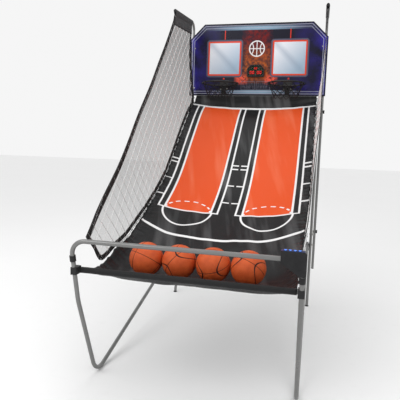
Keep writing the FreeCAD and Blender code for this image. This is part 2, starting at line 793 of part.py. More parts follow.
def ramp_cloth():
    """Sheet from the trough up to the board's lower edge, with its top hem."""
    low = V(0, trough_end_y + 1.5, trough_end_height + 1)
    middle = V(0, front_bar_y + ramp_middle_back, ramp_middle_height)
    high = V(0, board_front_y - 1, ramp_top_height)
    sheet = band([low, middle, high], -ramp_half_width, ramp_half_width, cloth_thickness)
    riser = box(-ramp_half_width, ramp_half_width, board_front_y - 3, board_front_y,
                ramp_top_height - cloth_thickness, board_bottom - fabric_gap)
    hem = box(-ramp_half_width, ramp_half_width, board_front_y - 3, board_back_y,
              board_bottom - fabric_gap - 14, board_bottom - fabric_gap)
    return sheet.fuse(riser).fuse(hem)


save("trough_cloth", trough_cloth())
save("ramp_cloth", ramp_cloth())

# ---------------------------------------------------------------- side nets
pocket_cloth = 1.5
net_low_x = front_half_width - 1.0
net_foot_z = lower_bar_height - 12
pocket_r = tube_r + fabric_gap + pocket_cloth
net_head_z = net_arm_tip.z - pocket_r - fabric_gap


def net_point(back, height):
    """Point on the right-hand net's plane, given its distance behind the front bar."""
    lean = (height - net_foot_z) / (net_head_z - net_foot_z)
    x = net_low_x + (upright_half_spread - net_low_x) * lean
    return V(x, front_bar_y + back, height)


arm_tip_back = net_arm_tip.y - front_bar_y


def arm_under(back):
    """Height of the pocket's lower side at a distance behind the front bar."""
    run = back - arm_tip_back
    return net_arm_tip.z + run * net_arm_fall / net_arm_length - pocket_r - 2 * fabric_gap


net_edge = [(112, front_bar_height + tube_r - 14), (312, 845), (551, 1039), (897, 1365),
            (1254, 1730), (1453, 1960), (arm_tip_back + 4, arm_under(arm_tip_back + 4))]
net_back = [(arm_tip_back + pocket_length, arm_under(arm_tip_back + pocket_length)),
            (1945, 1492)]
net_foot = [(1650, 1290), (1399, 1090), (1043, 822), (638, 652), (305, 568), (180, 628)]


def side_net():
    """Right-hand net as one thin flat solid with the real outline."""
    outline = [net_point(b, h) for b, h in net_edge + net_back + net_foot]
    plate = prism(outline, V(net_thickness, 0, 0))
    plate.translate(V(-net_thickness / 2, 0, 0))
    return plate


def net_pocket():
    """Cloth sleeve over the net arm that the net's head is sewn to."""
    run_back = V(0, pocket_length, pocket_length * net_arm_fall / net_arm_length)
    tip = net_arm_tip + net_arm_way * -2
    end = net_arm_tip + run_back
    sleeve = rod(tip, end, pocket_r)
    return sleeve.cut(rod(tip - run_back, end + run_back, tube_r + fabric_gap))


pocket = net_pocket()
for side, sign in SIDES:
    save(side + "_side_net", side_piece(side_net(), sign))
save("net_pockets", both_sides(pocket))

# ---------------------------------------------------------------- control box
box_y = front_bar_y
box_z = front_bar_height
box_x = front_half_width
box_outline = [(-84, 34), (2, 36), (13, 26), (14, -56), (6, -64), (-10, -62), (-84, -14)]
shell_wall = 2.5


def box_prism(inset, y0, y1):
    """The control box's outline, moved in by a wall, between two planes."""
    wire = Part.makePolygon([V(box_x + px, y0, box_z + pz) for px, pz in box_outline
                             + box_outline[:1]])
    if inset > 0:
        wire = wire.makeOffset2D(-inset)
    return Part.Face(wire).extrude(V(0, y1 - y0, 0))


bar_channel = swept(bar_path, tube_r + running_gap)
leg_channel = rod(collar_right - drop_right * 20, toed_point(knee_2d), collar_outer_r + fit_gap)
cavity_low = tube_r + 2.0
cavity = box(box_x - 80, box_x - 2, box_y - box_front_reach + shell_wall,
             box_y + box_back_reach - shell_wall, box_z + cavity_low, box_z + 32.0)
button_places = [box_x - 68 + button_pitch * k for k in range(button_count)]
whole_box = box_prism(0, box_y - box_front_reach, box_y + box_back_reach)
top_trim = box(box_x - 120, box_x + 60, box_y - 40, box_y + 40, box_z + 34.5, box_z + 60)
whole_box = whole_box.cut(top_trim).cut(bar_channel).cut(leg_channel).cut(cavity)
button_hole_gap = 0.35
for place in button_places:
    whole_box = whole_box.cut(box(place - button_length / 2 - button_hole_gap,
                                  place + button_length / 2 + button_hole_gap,
                                  box_y - button_depth / 2 - button_hole_gap,
                                  box_y + button_depth / 2 + button_hole_gap,
                                  box_z + 20, box_z + 60))
split = box_y + 6.0
front_half = whole_box.common(box(box_x - 150, box_x + 80, box_y - 60, split - 0.05,
                                  box_z - 120, box_z + 120))
back_half = whole_box.common(box(box_x - 150, box_x + 80, split, box_y + 60,
                                 box_z - 120, box_z + 120))


def push_button(place):
    """Cap that stands out of the top, a flange under it and a stem."""
    cap = box(place - button_length / 2, place + button_length / 2,
              box_y - button_depth / 2, box_y + button_depth / 2, box_z + 29, box_z + 37)
    cap = cap.makeFillet(1.2, [e for e in cap.Edges if e.CenterOfMass.z > box_z + 36.9])
    flange = box(place - button_length / 2 - 1.4, place + button_length / 2 + 1.4,
                 box_y - button_depth / 2 - 1.4, box_y + button_depth / 2 + 1.4,
                 box_z + 29.8, box_z + 31.8)
    stem = box(place - 2.5, place + 2.5, box_y - 2.5, box_y + 2.5, box_z + 21, box_z + 29.8)
    return cap.fuse(flange).fuse(stem)


pad_top = 21.0 - button_travel - 0.3
control_pcb = box(box_x - 79, box_x - 4, box_y - 10, box_y + 12, box_z + cavity_low + 0.2,
                  box_z + cavity_low + 0.2 + pcb_t)
button_pad = box(box_x - 78, box_x - 6, box_y - 8, box_y + 8, box_z + cavity_low + 0.2 + pcb_t,
                 box_z + pad_top)
save("control_box_front", front_half)
save("control_box_back", back_half)
save("control_circuit_board", control_pcb)
save("button_pad", button_pad)
save("control_box_gland", cable_gland(V(box_x - 60, box_y + box_back_reach, box_z + 22), Y_AXIS))
for k, place in enumerate(button_places):
    save("push_button_%d" % (k + 1), push_button(place))

# ---------------------------------------------------------------- balls
ball_r = ball_d / 2
ball_z = trough_low_height + ball_r + fabric_gap


def ball(x):
    centre = V(x, trough_low_y, ball_z)
    return Part.makeSphere(ball_r, centre).cut(Part.makeSphere(ball_r - ball_wall, centre))


for k in range(ball_count):
    ball_x = ball_row_shift + (ball_d + ball_gap) * (k - (ball_count - 1) / 2)
    save("ball_%d" % (k + 1), ball(ball_x))

print("pivot y, z", round(pivot_y, 3), pivot_height)
print("box z", box_z, "button places", button_places)
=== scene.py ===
# %% [markdown]
# # A folding two-player basketball machine
# Two hoops on a printed panel, a cloth ramp that rolls the balls back to a trough in front,
# and a net on each side. The tubes, brackets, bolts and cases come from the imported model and
# stay where they are. This file gives them their finishes and makes the soft pieces: the
# ramp, the nets, the pockets, the lacing, and the balls with their grooves.

# %% Load the frame
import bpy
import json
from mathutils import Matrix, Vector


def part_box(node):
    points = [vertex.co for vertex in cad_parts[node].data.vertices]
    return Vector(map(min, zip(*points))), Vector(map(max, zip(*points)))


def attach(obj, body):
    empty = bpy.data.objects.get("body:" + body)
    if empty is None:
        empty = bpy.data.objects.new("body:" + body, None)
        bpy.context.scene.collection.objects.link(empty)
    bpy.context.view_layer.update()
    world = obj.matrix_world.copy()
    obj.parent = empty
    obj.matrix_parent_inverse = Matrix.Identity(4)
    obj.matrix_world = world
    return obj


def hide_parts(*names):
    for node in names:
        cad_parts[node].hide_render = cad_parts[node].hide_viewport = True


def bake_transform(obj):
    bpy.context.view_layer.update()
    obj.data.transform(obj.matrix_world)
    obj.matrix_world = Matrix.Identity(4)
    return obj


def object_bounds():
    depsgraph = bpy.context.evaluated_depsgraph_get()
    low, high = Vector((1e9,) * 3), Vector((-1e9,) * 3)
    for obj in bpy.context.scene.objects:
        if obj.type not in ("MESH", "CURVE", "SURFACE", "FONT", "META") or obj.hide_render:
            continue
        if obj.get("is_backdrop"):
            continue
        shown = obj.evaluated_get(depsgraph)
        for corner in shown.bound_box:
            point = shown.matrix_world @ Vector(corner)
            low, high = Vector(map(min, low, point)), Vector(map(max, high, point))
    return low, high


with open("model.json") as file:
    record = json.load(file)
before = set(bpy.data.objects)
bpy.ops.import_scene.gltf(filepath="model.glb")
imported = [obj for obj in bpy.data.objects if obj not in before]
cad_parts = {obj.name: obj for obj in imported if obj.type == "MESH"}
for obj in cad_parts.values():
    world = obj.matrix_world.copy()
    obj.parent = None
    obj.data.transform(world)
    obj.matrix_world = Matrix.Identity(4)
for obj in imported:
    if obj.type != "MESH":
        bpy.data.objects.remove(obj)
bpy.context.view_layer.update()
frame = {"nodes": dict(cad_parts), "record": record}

# %% Modules
import json
import math

import bmesh
import bpy
from mathutils import Matrix, Vector, noise

print("Blender", bpy.app.version_string)

# %% [markdown]
# ## Camera and light
# The machine is looked at from a little right of the middle, from a grown person's chest
# height, turned slightly left and tipped slightly down. A soft white surround does most of
# the lighting, as in a product studio. One large lamp from the upper left gives the tubes
# a bright side, a weaker one from the right keeps the shadows open, and one above lights the
# ramp. Small lamps would do as well, but they throw hard shadows and bright dots.

# %% Camera
camera_place = Vector((0.515, -2.7925, 1.109))
camera_turn = 0.242
camera_tip = -0.111
camera_roll = 0.033
camera_lens = 42.47

forward = Vector((-math.sin(camera_turn) * math.cos(camera_tip),
                  math.cos(camera_turn) * math.cos(camera_tip), math.sin(camera_tip)))
level_right = Vector((math.cos(camera_turn), math.sin(camera_turn), 0.0))
level_up = level_right.cross(forward)
right = level_right * math.cos(camera_roll) + level_up * math.sin(camera_roll)
up = level_up * math.cos(camera_roll) - level_right * math.sin(camera_roll)

camera = bpy.data.objects.new("camera", bpy.data.cameras.new("camera"))
bpy.context.scene.collection.objects.link(camera)
camera.matrix_world = Matrix.Translation(camera_place) @ Matrix(
    (right, up, -forward)).transposed().to_4x4()
camera.data.lens = camera_lens
bpy.context.scene.camera = camera
print("camera looks along", [round(v, 3) for v in forward])


# %% Lamps, surround and floor
def add_lamp(name, place, aim, size, power):
    """Large soft square lamp that points at a place."""
    lamp = bpy.data.lights.new(name, "AREA")
    lamp.size = size
    lamp.energy = power
    holder = bpy.data.objects.new(name, lamp)
    bpy.context.scene.collection.objects.link(holder)
    holder.location = place
    holder.rotation_euler = (Vector(aim) - Vector(place)).to_track_quat("-Z", "Y").to_euler()


add_lamp("key_lamp", (-2.6, -3.2, 3.4), (0.0, 0.0, 0.9), 2.4, 70.0)
add_lamp("fill_lamp", (3.2, -2.0, 2.2), (0.0, 0.2, 0.9), 2.6, 18.0)
add_lamp("top_lamp", (0.0, 0.4, 4.2), (0.0, 0.2, 0.8), 2.4, 20.0)

surround = bpy.data.worlds.new("surround")
surround.use_nodes = True
surround.node_tree.nodes["Background"].inputs["Color"].default_value = (1.0, 1.0, 1.0, 1.0)
surround.node_tree.nodes["Background"].inputs["Strength"].default_value = 0.92
bpy.context.scene.world = surround
bpy.context.scene.view_settings.view_transform = "Standard"

floor_half = 30.0
floor_mesh = bpy.data.meshes.new("floor")
floor_mesh.from_pydata([(-floor_half, -floor_half, 0.0), (floor_half, -floor_half, 0.0),
                        (floor_half, floor_half, 0.0), (-floor_half, floor_half, 0.0)],
                       [], [(0, 1, 2, 3)])
floor = bpy.data.objects.new("floor", floor_mesh)
bpy.context.scene.collection.objects.link(floor)
floor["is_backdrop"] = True
print("floor", 2 * floor_half, "metres across")

# %% [markdown]
# ## Sums on a surface
# A print or a weave is a formula of the place on the surface. It could be an image, but an
# image blurs close up and has to be redrawn when a size changes. Wiring each Math node by
# hand is long and hard to read, so a small class stands for "a number that changes over the
# surface": adding two of them adds a node. The rest of the file writes its masks as sums.


# %% A number that changes over a surface
class Field:
    """A socket that carries a number. Arithmetic on it adds Math nodes to its tree."""

    def __init__(self, tree, socket):
        self.tree = tree
        self.socket = socket

    def math(self, kind, *others, clamp=False):
        """A Math node of any kind, with this number as its first input."""
        node = self.tree.nodes.new("ShaderNodeMath")
        node.operation = kind
        node.use_clamp = clamp
        for slot, value in zip(node.inputs, (self, *others)):
            if isinstance(value, Field):
                self.tree.links.new(value.socket, slot)
            else:
                slot.default_value = value
        return Field(self.tree, node.outputs[0])

    def __add__(self, other):
        return self.math("ADD", other)

    def __sub__(self, other):
        return self.math("SUBTRACT", other)

    def __mul__(self, other):
        return self.math("MULTIPLY", other)

    def size(self):
        """The number without its sign."""
        return self.math("ABSOLUTE")

    def most(self, other):
        """The larger of two numbers."""
        return self.math("MAXIMUM", other)

    def least(self, other):
        """The smaller of two numbers."""
        return self.math("MINIMUM", other)

    def above(self, edge, blur):
        """1 where the number is over an edge, with a soft step."""
        return self.math("MULTIPLY_ADD", 1.0 / blur, 0.5 - edge / blur, clamp=True)

    def below(self, edge, blur):
        """1 where the number is under an edge, with a soft step."""
        return self.math("MULTIPLY_ADD", -1.0 / blur, 0.5 + edge / blur, clamp=True)

    def near(self, middle, half, blur):
        """1 within half of a middle value."""
        return (self - middle).size().below(half, blur)


# %% Vectors, noise and colours
def join(tree, x, y, z=0.0):
    """Three numbers as one vector socket."""
    node = tree.nodes.new("ShaderNodeCombineXYZ")
    for slot, value in zip(node.inputs, (x, y, z)):
        if isinstance(value, Field):
            tree.links.new(value.socket, slot)
        else:
            slot.default_value = value
    return node.outputs[0]


def split(tree, vector):
    """A vector socket as three numbers."""
    node = tree.nodes.new("ShaderNodeSeparateXYZ")
    tree.links.new(vector, node.inputs[0])
    return [Field(tree, out) for out in node.outputs]


def speckle(tree, vector, scale, detail=2.0, roughness=0.5):
    """Noise from 0 to 1."""
    node = tree.nodes.new("ShaderNodeTexNoise")
    tree.links.new(vector, node.inputs["Vector"])
    node.inputs["Scale"].default_value = scale
    node.inputs["Detail"].default_value = detail
    node.inputs["Roughness"].default_value = roughness
    return Field(tree, node.outputs["Fac"])


def tint(tree, mask, low, high):
    """One colour where the mask is 0 and another where it is 1. Either may be a socket."""
    node = tree.nodes.new("ShaderNodeMix")
    node.data_type = "RGBA"
    factor, first, second = node.inputs[0], node.inputs[6], node.inputs[7]
    tree.links.new(mask.socket, factor)
    for slot, value in ((first, low), (second, high)):
        if isinstance(value, bpy.types.NodeSocket):
            tree.links.new(value, slot)
        else:
            slot.default_value = (*value, 1.0)
    return node.outputs[2]


# %% Node groups
def new_group(name, inputs, outputs):
    """Empty shader node group with named sockets."""
    tree = bpy.data.node_groups.new(name, "ShaderNodeTree")
    for label, kind, value in inputs:
        socket = tree.interface.new_socket(label, in_out="INPUT", socket_type=kind)
        if value is not None:
            socket.default_value = value
    for label, kind in outputs:
        tree.interface.new_socket(label, in_out="OUTPUT", socket_type=kind)
    return tree, tree.nodes.new("NodeGroupInput"), tree.nodes.new("NodeGroupOutput")


def place_group(tree, group, vector, **values):
    """A group in a material, with its own values."""
    node = tree.nodes.new("ShaderNodeGroup")
    node.node_tree = group
    tree.links.new(vector, node.inputs["Vector"])
    for label, value in values.items():
        node.inputs[label].default_value = value
    return node


print("field helpers ready")

# %% [markdown]
# ## Three effects that many finishes share
# Real surfaces are never one flat colour. *Wear* gives slow patches and fine specks for
# paint, plastic and rubber. *Grain* is the small bumps of moulded plastic or a powder coat.
# *Weave* is the over-and-under of cloth: two sets of ridges at right angles, where one set
# rises as the other dips. Each is a node group, so a finish only sets its own scale.

# %% Wear, grain and weave
wear, wear_in, wear_out = new_group(
    "wear", [("Vector", "NodeSocketVector", None), ("Scale", "NodeSocketFloat", 4.0)],
    [("Patches", "NodeSocketFloat"), ("Specks", "NodeSocketFloat")])
patch_vector = wear.nodes.new("ShaderNodeVectorMath")
patch_vector.operation = "SCALE"
wear.links.new(wear_in.outputs["Vector"], patch_vector.inputs[0])
wear.links.new(wear_in.outputs["Scale"], patch_vector.inputs["Scale"])
wear_patches = speckle(wear, patch_vector.outputs[0], 1.0, 4.0, 0.6).above(0.52, 0.35)
wear_specks = speckle(wear, patch_vector.outputs[0], 26.0, 2.0, 0.7).above(0.62, 0.12)
wear.links.new(wear_patches.socket, wear_out.inputs["Patches"])
wear.links.new(wear_specks.socket, wear_out.inputs["Specks"])

grain, grain_in, grain_out = new_group(
    "grain", [("Vector", "NodeSocketVector", None), ("Scale", "NodeSocketFloat", 900.0)],
    [("Height", "NodeSocketFloat")])
grain_noise = grain.nodes.new("ShaderNodeTexNoise")
grain.links.new(grain_in.outputs["Vector"], grain_noise.inputs["Vector"])
grain.links.new(grain_in.outputs["Scale"], grain_noise.inputs["Scale"])
grain_noise.inputs["Detail"].default_value = 3.0
grain.links.new(grain_noise.outputs["Fac"], grain_out.inputs["Height"])

weave, weave_in, weave_out = new_group(
    "weave", [("Vector", "NodeSocketVector", None), ("Threads", "NodeSocketFloat", 900.0)],
    [("Height", "NodeSocketFloat"), ("Shade", "NodeSocketFloat")])
thread_count = Field(weave, weave_in.outputs["Threads"])
weave_x, weave_y = split(weave, weave_in.outputs["Vector"])[:2]
over = (weave_x * thread_count * math.pi).math("SINE")
under = (weave_y * thread_count * math.pi).math("SINE")
crossing = (over * under).above(0.0, 0.6)
weave_height = (over.size() * crossing) + under.size() * (crossing * -1.0 + 1.0)
weave_shade = speckle(weave, weave_in.outputs["Vector"], 120.0, 3.0, 0.6)
weave.links.new(weave_height.socket, weave_out.inputs["Height"])
weave.links.new(weave_shade.socket, weave_out.inputs["Shade"])
print("groups", wear.name, grain.name, weave.name)


# %% [markdown]
# ## One way to start every finish
# A finish is a material with one Principled shader. Its patterns are drawn on the piece's own
# X, Y and Z for hard pieces, on its UV map for woven cloth, and on a stored direction for a
# ball, so they stay fixed to the piece when it moves. Paint, plastic, rubber and plated metal
# differ only in their numbers, so one function makes them all.


# %% A finish to start from
plain_gloss = 0.25
metal_gloss = 0.5


def new_finish(name, roughness, metallic=0.0, source="Object"):
    """Material with its shader, and the vector its patterns are drawn on."""
    material = bpy.data.materials.new(name)
    material.use_nodes = True
    tree = material.node_tree
    shader = tree.nodes["Principled BSDF"]
    shader.inputs["Roughness"].default_value = roughness
    shader.inputs["Metallic"].default_value = metallic
    shader.inputs["Specular IOR Level"].default_value = plain_gloss + metal_gloss * metallic
    if source == "Object":
        vector = tree.nodes.new("ShaderNodeTexCoord").outputs["Object"]
    elif source == "UV":
        vector = tree.nodes.new("ShaderNodeUVMap").outputs["UV"]
    else:
        attribute = tree.nodes.new("ShaderNodeAttribute")
        attribute.attribute_name = source
        vector = attribute.outputs["Vector"]
    return material, tree, shader, vector


def raise_bumps(tree, shader, height, distance, strength=1.0):
    """Bump from a height mask."""
    bump = tree.nodes.new("ShaderNodeBump")
    bump.inputs["Distance"].default_value = distance
    bump.inputs["Strength"].default_value = strength
    tree.links.new(height, bump.inputs["Height"])
    tree.links.new(bump.outputs["Normal"], shader.inputs["Normal"])


def plain_finish(name, base, worn, roughness, worn_roughness, metallic=0.0, patch_scale=4.0,
                 grain_scale=900.0, grain_depth=0.0002):
    """Paint, plastic, rubber or bare metal: slow patches, fine specks and a grain."""
    material, tree, shader, vector = new_finish(name, roughness, metallic)
    marks = place_group(tree, wear, vector, Scale=patch_scale)
    patches = Field(tree, marks.outputs["Patches"])
    specks = Field(tree, marks.outputs["Specks"])
    mask = (patches * 0.55).most(specks * 0.8)
    tree.links.new(tint(tree, mask, base, worn), shader.inputs["Base Color"])
    shine = patches * (worn_roughness - roughness) + roughness
    tree.links.new(shine.socket, shader.inputs["Roughness"])
    bumps = place_group(tree, grain, vector, Scale=grain_scale)
    raise_bumps(tree, shader, bumps.outputs["Height"], grain_depth)
    return material


floor_finish = plain_finish("floor_finish", (0.90, 0.90, 0.90), (0.88, 0.88, 0.88), 0.85, 0.9,
                            patch_scale=0.6, grain_scale=60.0)
floor.data.materials.append(floor_finish)
print("floor finish", floor_finish.name)

# %% [markdown]
# ## Finishes of the carried-over pieces
# The tubes have a satin silver coat with a faint orange-peel. Clips, cases, caps and knobs
# are black moulded plastic, brackets and rims are black-coated steel, and small bolts are
# zinc plated. Each slot of the record gets one finish, and a loop puts it on its nodes.

# %% Plain finishes by slot
finishes = {
    "tube_paint": plain_finish("silver_coat", (0.20, 0.20, 0.197), (0.15, 0.15, 0.147),
                               0.27, 0.40, metallic=0.45, patch_scale=7.0, grain_scale=500.0,
                               grain_depth=0.0003),
    "black_plastic": plain_finish("moulded_black", (0.012, 0.012, 0.013), (0.022, 0.022, 0.023),
                                  0.42, 0.58, patch_scale=18.0, grain_scale=1800.0),
    "black_steel": plain_finish("black_coat", (0.010, 0.010, 0.011), (0.045, 0.043, 0.04),
                                0.34, 0.5, metallic=0.2, patch_scale=24.0, grain_scale=1200.0),
    "zinc": plain_finish("zinc_plate", (0.52, 0.51, 0.48), (0.36, 0.35, 0.33), 0.3, 0.46,
                         metallic=0.9, patch_scale=60.0, grain_scale=2400.0, grain_depth=0.0001),
    "pad_rubber": plain_finish("grey_pad", (0.05, 0.05, 0.052), (0.08, 0.08, 0.08), 0.7, 0.82,
                               patch_scale=30.0, grain_scale=1500.0),
    "gland_rubber": plain_finish("black_rubber", (0.011, 0.011, 0.011), (0.03, 0.03, 0.03),
                                 0.68, 0.8, patch_scale=40.0, grain_scale=1500.0),
    "digit_display": plain_finish("display_block", (0.018, 0.004, 0.004), (0.03, 0.008, 0.008),
                                  0.3, 0.42, patch_scale=50.0, grain_scale=2000.0),
    "battery_cell": plain_finish("cell_sleeve", (0.03, 0.03, 0.035), (0.32, 0.2, 0.05),
                                 0.35, 0.45, metallic=0.3, patch_scale=35.0, grain_scale=1500.0),
}
print("plain finishes", len(finishes))

# %% [markdown]
# ## Circuit boards
# Three kinds of board sit inside the score unit, the sensors and the control case. They are
# seen only when a case is opened, so tracks and pads cut as pieces would be wasted. Sine
# waves broken up by noise read as copper tracks under green lacquer, with bright pads.


# %% Circuit board finish
def circuit_board_finish():
    """Green solder mask with copper tracks under it and bright pads."""
    material, tree, shader, vector = new_finish("circuit_board_green", 0.32)
    x, y, z = split(tree, vector)
    tracks = (x * 420.0).math("SINE").near(0.0, 0.25, 0.2)
    runs = ((y + z) * 380.0).math("SINE").near(0.0, 0.2, 0.2)
    lines = (tracks * speckle(tree, vector, 60.0).above(0.5, 0.05)).most(
        runs * speckle(tree, vector, 45.0).above(0.55, 0.05))
    pads = speckle(tree, vector, 260.0, 0.0).above(0.68, 0.03)
    masked = tint(tree, lines, (0.006, 0.09, 0.03), (0.02, 0.17, 0.06))
    tree.links.new(tint(tree, pads, masked, (0.55, 0.52, 0.44)), shader.inputs["Base Color"])
    raise_bumps(tree, shader, lines.most(pads).socket, 0.0003)
    return material


finishes["circuit_board"] = circuit_board_finish()
print("circuit board finish", finishes["circuit_board"].name)

# %% [markdown]
# ## Window and buttons
# The score unit's window is smoky plastic, so plain alpha lets the red digits show through it
# at any angle. A button is a blue cap with a lamp under it. One flat glow would look like
# paint, so the light is an oval that fades out, measured from the middle of each cap.


# %% Tinted window and lit buttons
def window_finish():
    """Smoky clear plastic in front of the digits, with hair scratches."""
    material, tree, shader, vector = new_finish("smoky_window", 0.12)
    scratch = place_group(tree, wear, vector, Scale=45.0)
    mask = Field(tree, scratch.outputs["Specks"])
    tree.links.new(tint(tree, mask, (0.012, 0.003, 0.003), (0.06, 0.05, 0.05)),
                   shader.inputs["Base Color"])
    shader.inputs["Alpha"].default_value = 0.28
    return material


def button_finish(name, middle, reach):
    """Blue cap with a lighter oval that a lamp lights from below."""
    material, tree, shader, vector = new_finish(name, 0.25)
    x, y = split(tree, vector)[:2]
    across = (x - middle.x) * (1.0 / reach.x)
    along = (y - middle.y) * (1.0 / reach.y)
    oval = (across * across + along * along).below(0.75, 0.35)
    glow = oval * (speckle(tree, vector, 900.0) * 0.3 + 0.8)
    tree.links.new(tint(tree, oval, (0.01, 0.03, 0.16), (0.10, 0.28, 0.85)),
                   shader.inputs["Base Color"])
    tree.links.new(tint(tree, glow, (0.0, 0.0, 0.0), (0.09, 0.24, 0.80)),
                   shader.inputs["Emission Color"])
    shader.inputs["Emission Strength"].default_value = 0.6
    return material


finishes["lens_plastic"] = window_finish()
print("window finish", finishes["lens_plastic"].name)

# %% [markdown]
# ## The printed panel
# The panel behind the hoops is a sheet of board with a printed film. The print is drawn
# with formulas on the panel's own X and Z: each frame is the distance to a rounded box,
# and the pale outlines follow the distance to the panel's edge, so they turn the cut
# corners by themselves. Each part of the print is a short function that lays its colour over
# the ones before. A plain ball sign stands where a maker would print a name.

# %% Places on the panel
panel_low, panel_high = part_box("backboard")
panel_half = (panel_high.x - panel_low.x) / 2
panel_cut = 0.114
target_x = 0.2545
target_z = panel_low.z + 0.288
target_half = 0.144
unit_low, unit_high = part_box("score_housing")
unit_z = (unit_low.z + unit_high.z) / 2
sign_z = unit_high.z + 0.125
sign_r = 0.062
print("panel", [round(v, 3) for v in panel_high - panel_low], "targets at", target_x)


# %% Distance to the panel's edge and to a rounded box
def rounded_box(x, z, middle_x, middle_z, half_x, half_z, corner):
    """Distance to a box with round corners: negative inside."""
    over_x = (x - middle_x).size() - (half_x - corner)
    over_z = (z - middle_z).size() - (half_z - corner)
    outside_x = over_x.most(0.0)
    outside_z = over_z.most(0.0)
    outside = (outside_x * outside_x + outside_z * outside_z).math("SQRT")
    return outside + over_x.most(over_z).least(0.0) - corner


def panel_depth(x, z):
    """Distance in from the panel's outline, with its two cut corners."""
    cut = (x.size() + z - (panel_half + panel_high.z - panel_cut)) * math.sqrt(0.5)
    sides = (x.size() - panel_half).most(z - panel_high.z)
    return sides.most(z * -1.0 + panel_low.z).most(cut) * -1.0


# %% Sky, cloud and fire of the print
def print_sky(tree, vector, wide):
    """Near-black with blue haze and violet cloud that gather toward the sides."""
    cloud = speckle(tree, vector, 5.5, 5.0, 0.6).above(0.50, 0.28) * wide.above(0.40, 0.26)
    haze = speckle(tree, vector, 2.4, 3.0, 0.55).above(0.55, 0.3) * wide.above(0.2, 0.3)
    color = tint(tree, haze, (0.0045, 0.004, 0.016), (0.012, 0.008, 0.075))
    return tint(tree, cloud, color, (0.032, 0.02, 0.30))


def print_fire(tree, vector, wide, z, color):
    """Ragged red glow behind the middle, warmer low down, with embers by the score unit."""
    ragged = speckle(tree, vector, 14.0, 4.0, 0.7) * 0.10 + 0.055
    glow = (ragged - wide).above(0.0, 0.05) * z.below(panel_high.z - 0.045, 0.02)
    glow = glow * z.above(unit_z - 0.075, 0.05)
    warm = z.below(panel_high.z - 0.23, 0.20)
    fire = tint(tree, warm, (0.20, 0.004, 0.002), (0.62, 0.13, 0.008))
    flecks = speckle(tree, vector, 40.0, 3.0, 0.7).above(0.52, 0.22)
    color = tint(tree, glow * (flecks * 0.65 + 0.22), color, fire)
    ember = (wide.near(0.115, 0.045, 0.03) * z.near(unit_z - 0.062, 0.03, 0.03)
             * speckle(tree, vector, 55.0, 3.0, 0.8).above(0.46, 0.12))
    return tint(tree, ember, color, (0.85, 0.10, 0.05))


# %% Steel bands and outlines of the print
outline_depths = (0.016, 0.034)
steel_drop = 0.036
steel_rise = 0.030


def print_steel(tree, wide, z, color):
    """Blue-grey bands along the top and the foot."""
    top_steel = z.near(panel_high.z - steel_drop, 0.014, 0.004) * wide.below(0.42, 0.3)
    low_steel = z.near(panel_low.z + steel_rise, 0.013, 0.004) * wide.below(0.32, 0.24)
    steel = tint(tree, wide.below(0.22, 0.3), (0.06, 0.07, 0.13), (0.24, 0.38, 0.50))
    return tint(tree, top_steel.most(low_steel), color, steel)


def print_outlines(tree, edge, color):
    """Two pale lines that follow the panel's edge."""
    outer, inner = outline_depths
    outlines = edge.near(outer, 0.0026, 0.0016).most(edge.near(inner, 0.0022, 0.0016))
    return tint(tree, outlines * 0.75, color, (0.42, 0.44, 0.55))


# %% Target windows of the print, with a painted reflection
frame_corner = 0.022
frame_rim = 0.012
pane_inset = 0.024
pane_half = target_half - pane_inset
pin_half = 0.0034
dot_half = 0.006


def print_targets(tree, x, z, wide, color):
    """A grey frame, a red band and a pale pane behind each hoop, with a red pin over it and a dot
    under it. A painted reflection lies on the pane: lighter toward its upper left, with a darker
    band from corner to corner."""
    frame_distance = rounded_box(wide, z, target_x, target_z, target_half, target_half,
                                 frame_corner)
    color = tint(tree, frame_distance.below(0.0, 0.003), color, (0.095, 0.10, 0.155))
    color = tint(tree, frame_distance.below(-frame_rim, 0.002), color, (0.80, 0.062, 0.022))
    # Painted reflection on the pane: a light wash toward its upper left, and a darker band of
    # painted shade from its upper left corner to its lower right.
    side = x.above(0.0, 0.0001) * 2.0 - 1.0
    across = (x - side * target_x + z - target_z) * (1.0 / target_half)
    shade = across.size().below(0.10, 0.5) * 0.6
    pane_and_reflection = tint(tree, (z - target_z - (x - side * target_x)).above(0.0, 0.30),
                 (0.40, 0.54, 0.68), (0.86, 0.90, 0.96))
    pane_and_reflection = tint(tree, shade, pane_and_reflection, (0.26, 0.36, 0.48))
    pane = rounded_box(wide, z, target_x, target_z, pane_half, pane_half, 0.003)
    color = tint(tree, pane.below(0.0, 0.002), color, pane_and_reflection)

    pin = wide.near(target_x, pin_half, 0.0015) * z.near(panel_high.z - 0.085, 0.035, 0.004)
    dot = wide.near(target_x, dot_half, 0.003) * z.near(
        target_z - target_half - 2 * dot_half, dot_half, 0.003)
    return tint(tree, pin.most(dot), color, (0.75, 0.04, 0.02))


# %% Dashes and ball sign of the print
note_x = 0.060
note_z = panel_low.z + 0.078
note_row = 0.0105
note_line = 0.002


def print_notes(tree, x, z, wide, color):
    """Two ruled boxes with rows of dashes that say nothing."""
    rules = (wide.near(note_x, 0.054, 0.002) * z.near(note_z, 0.033, 0.002)
             - wide.near(note_x, 0.054 - note_line, 0.002) * z.near(
                 note_z, 0.033 - note_line, 0.002))
    rows = (z * (2 * math.pi / note_row)).math("SINE").above(0.35, 0.4)
    words = rows * speckle(tree, join(tree, x * 9.0, z * 1.4, 0.0), 12.0, 2.0, 0.7).above(
        0.5, 0.08)
    words = words * wide.near(note_x, 0.044, 0.004) * z.near(note_z, 0.024, 0.004)
    return tint(tree, rules.most(words * 0.6), color, (0.20, 0.20, 0.26))


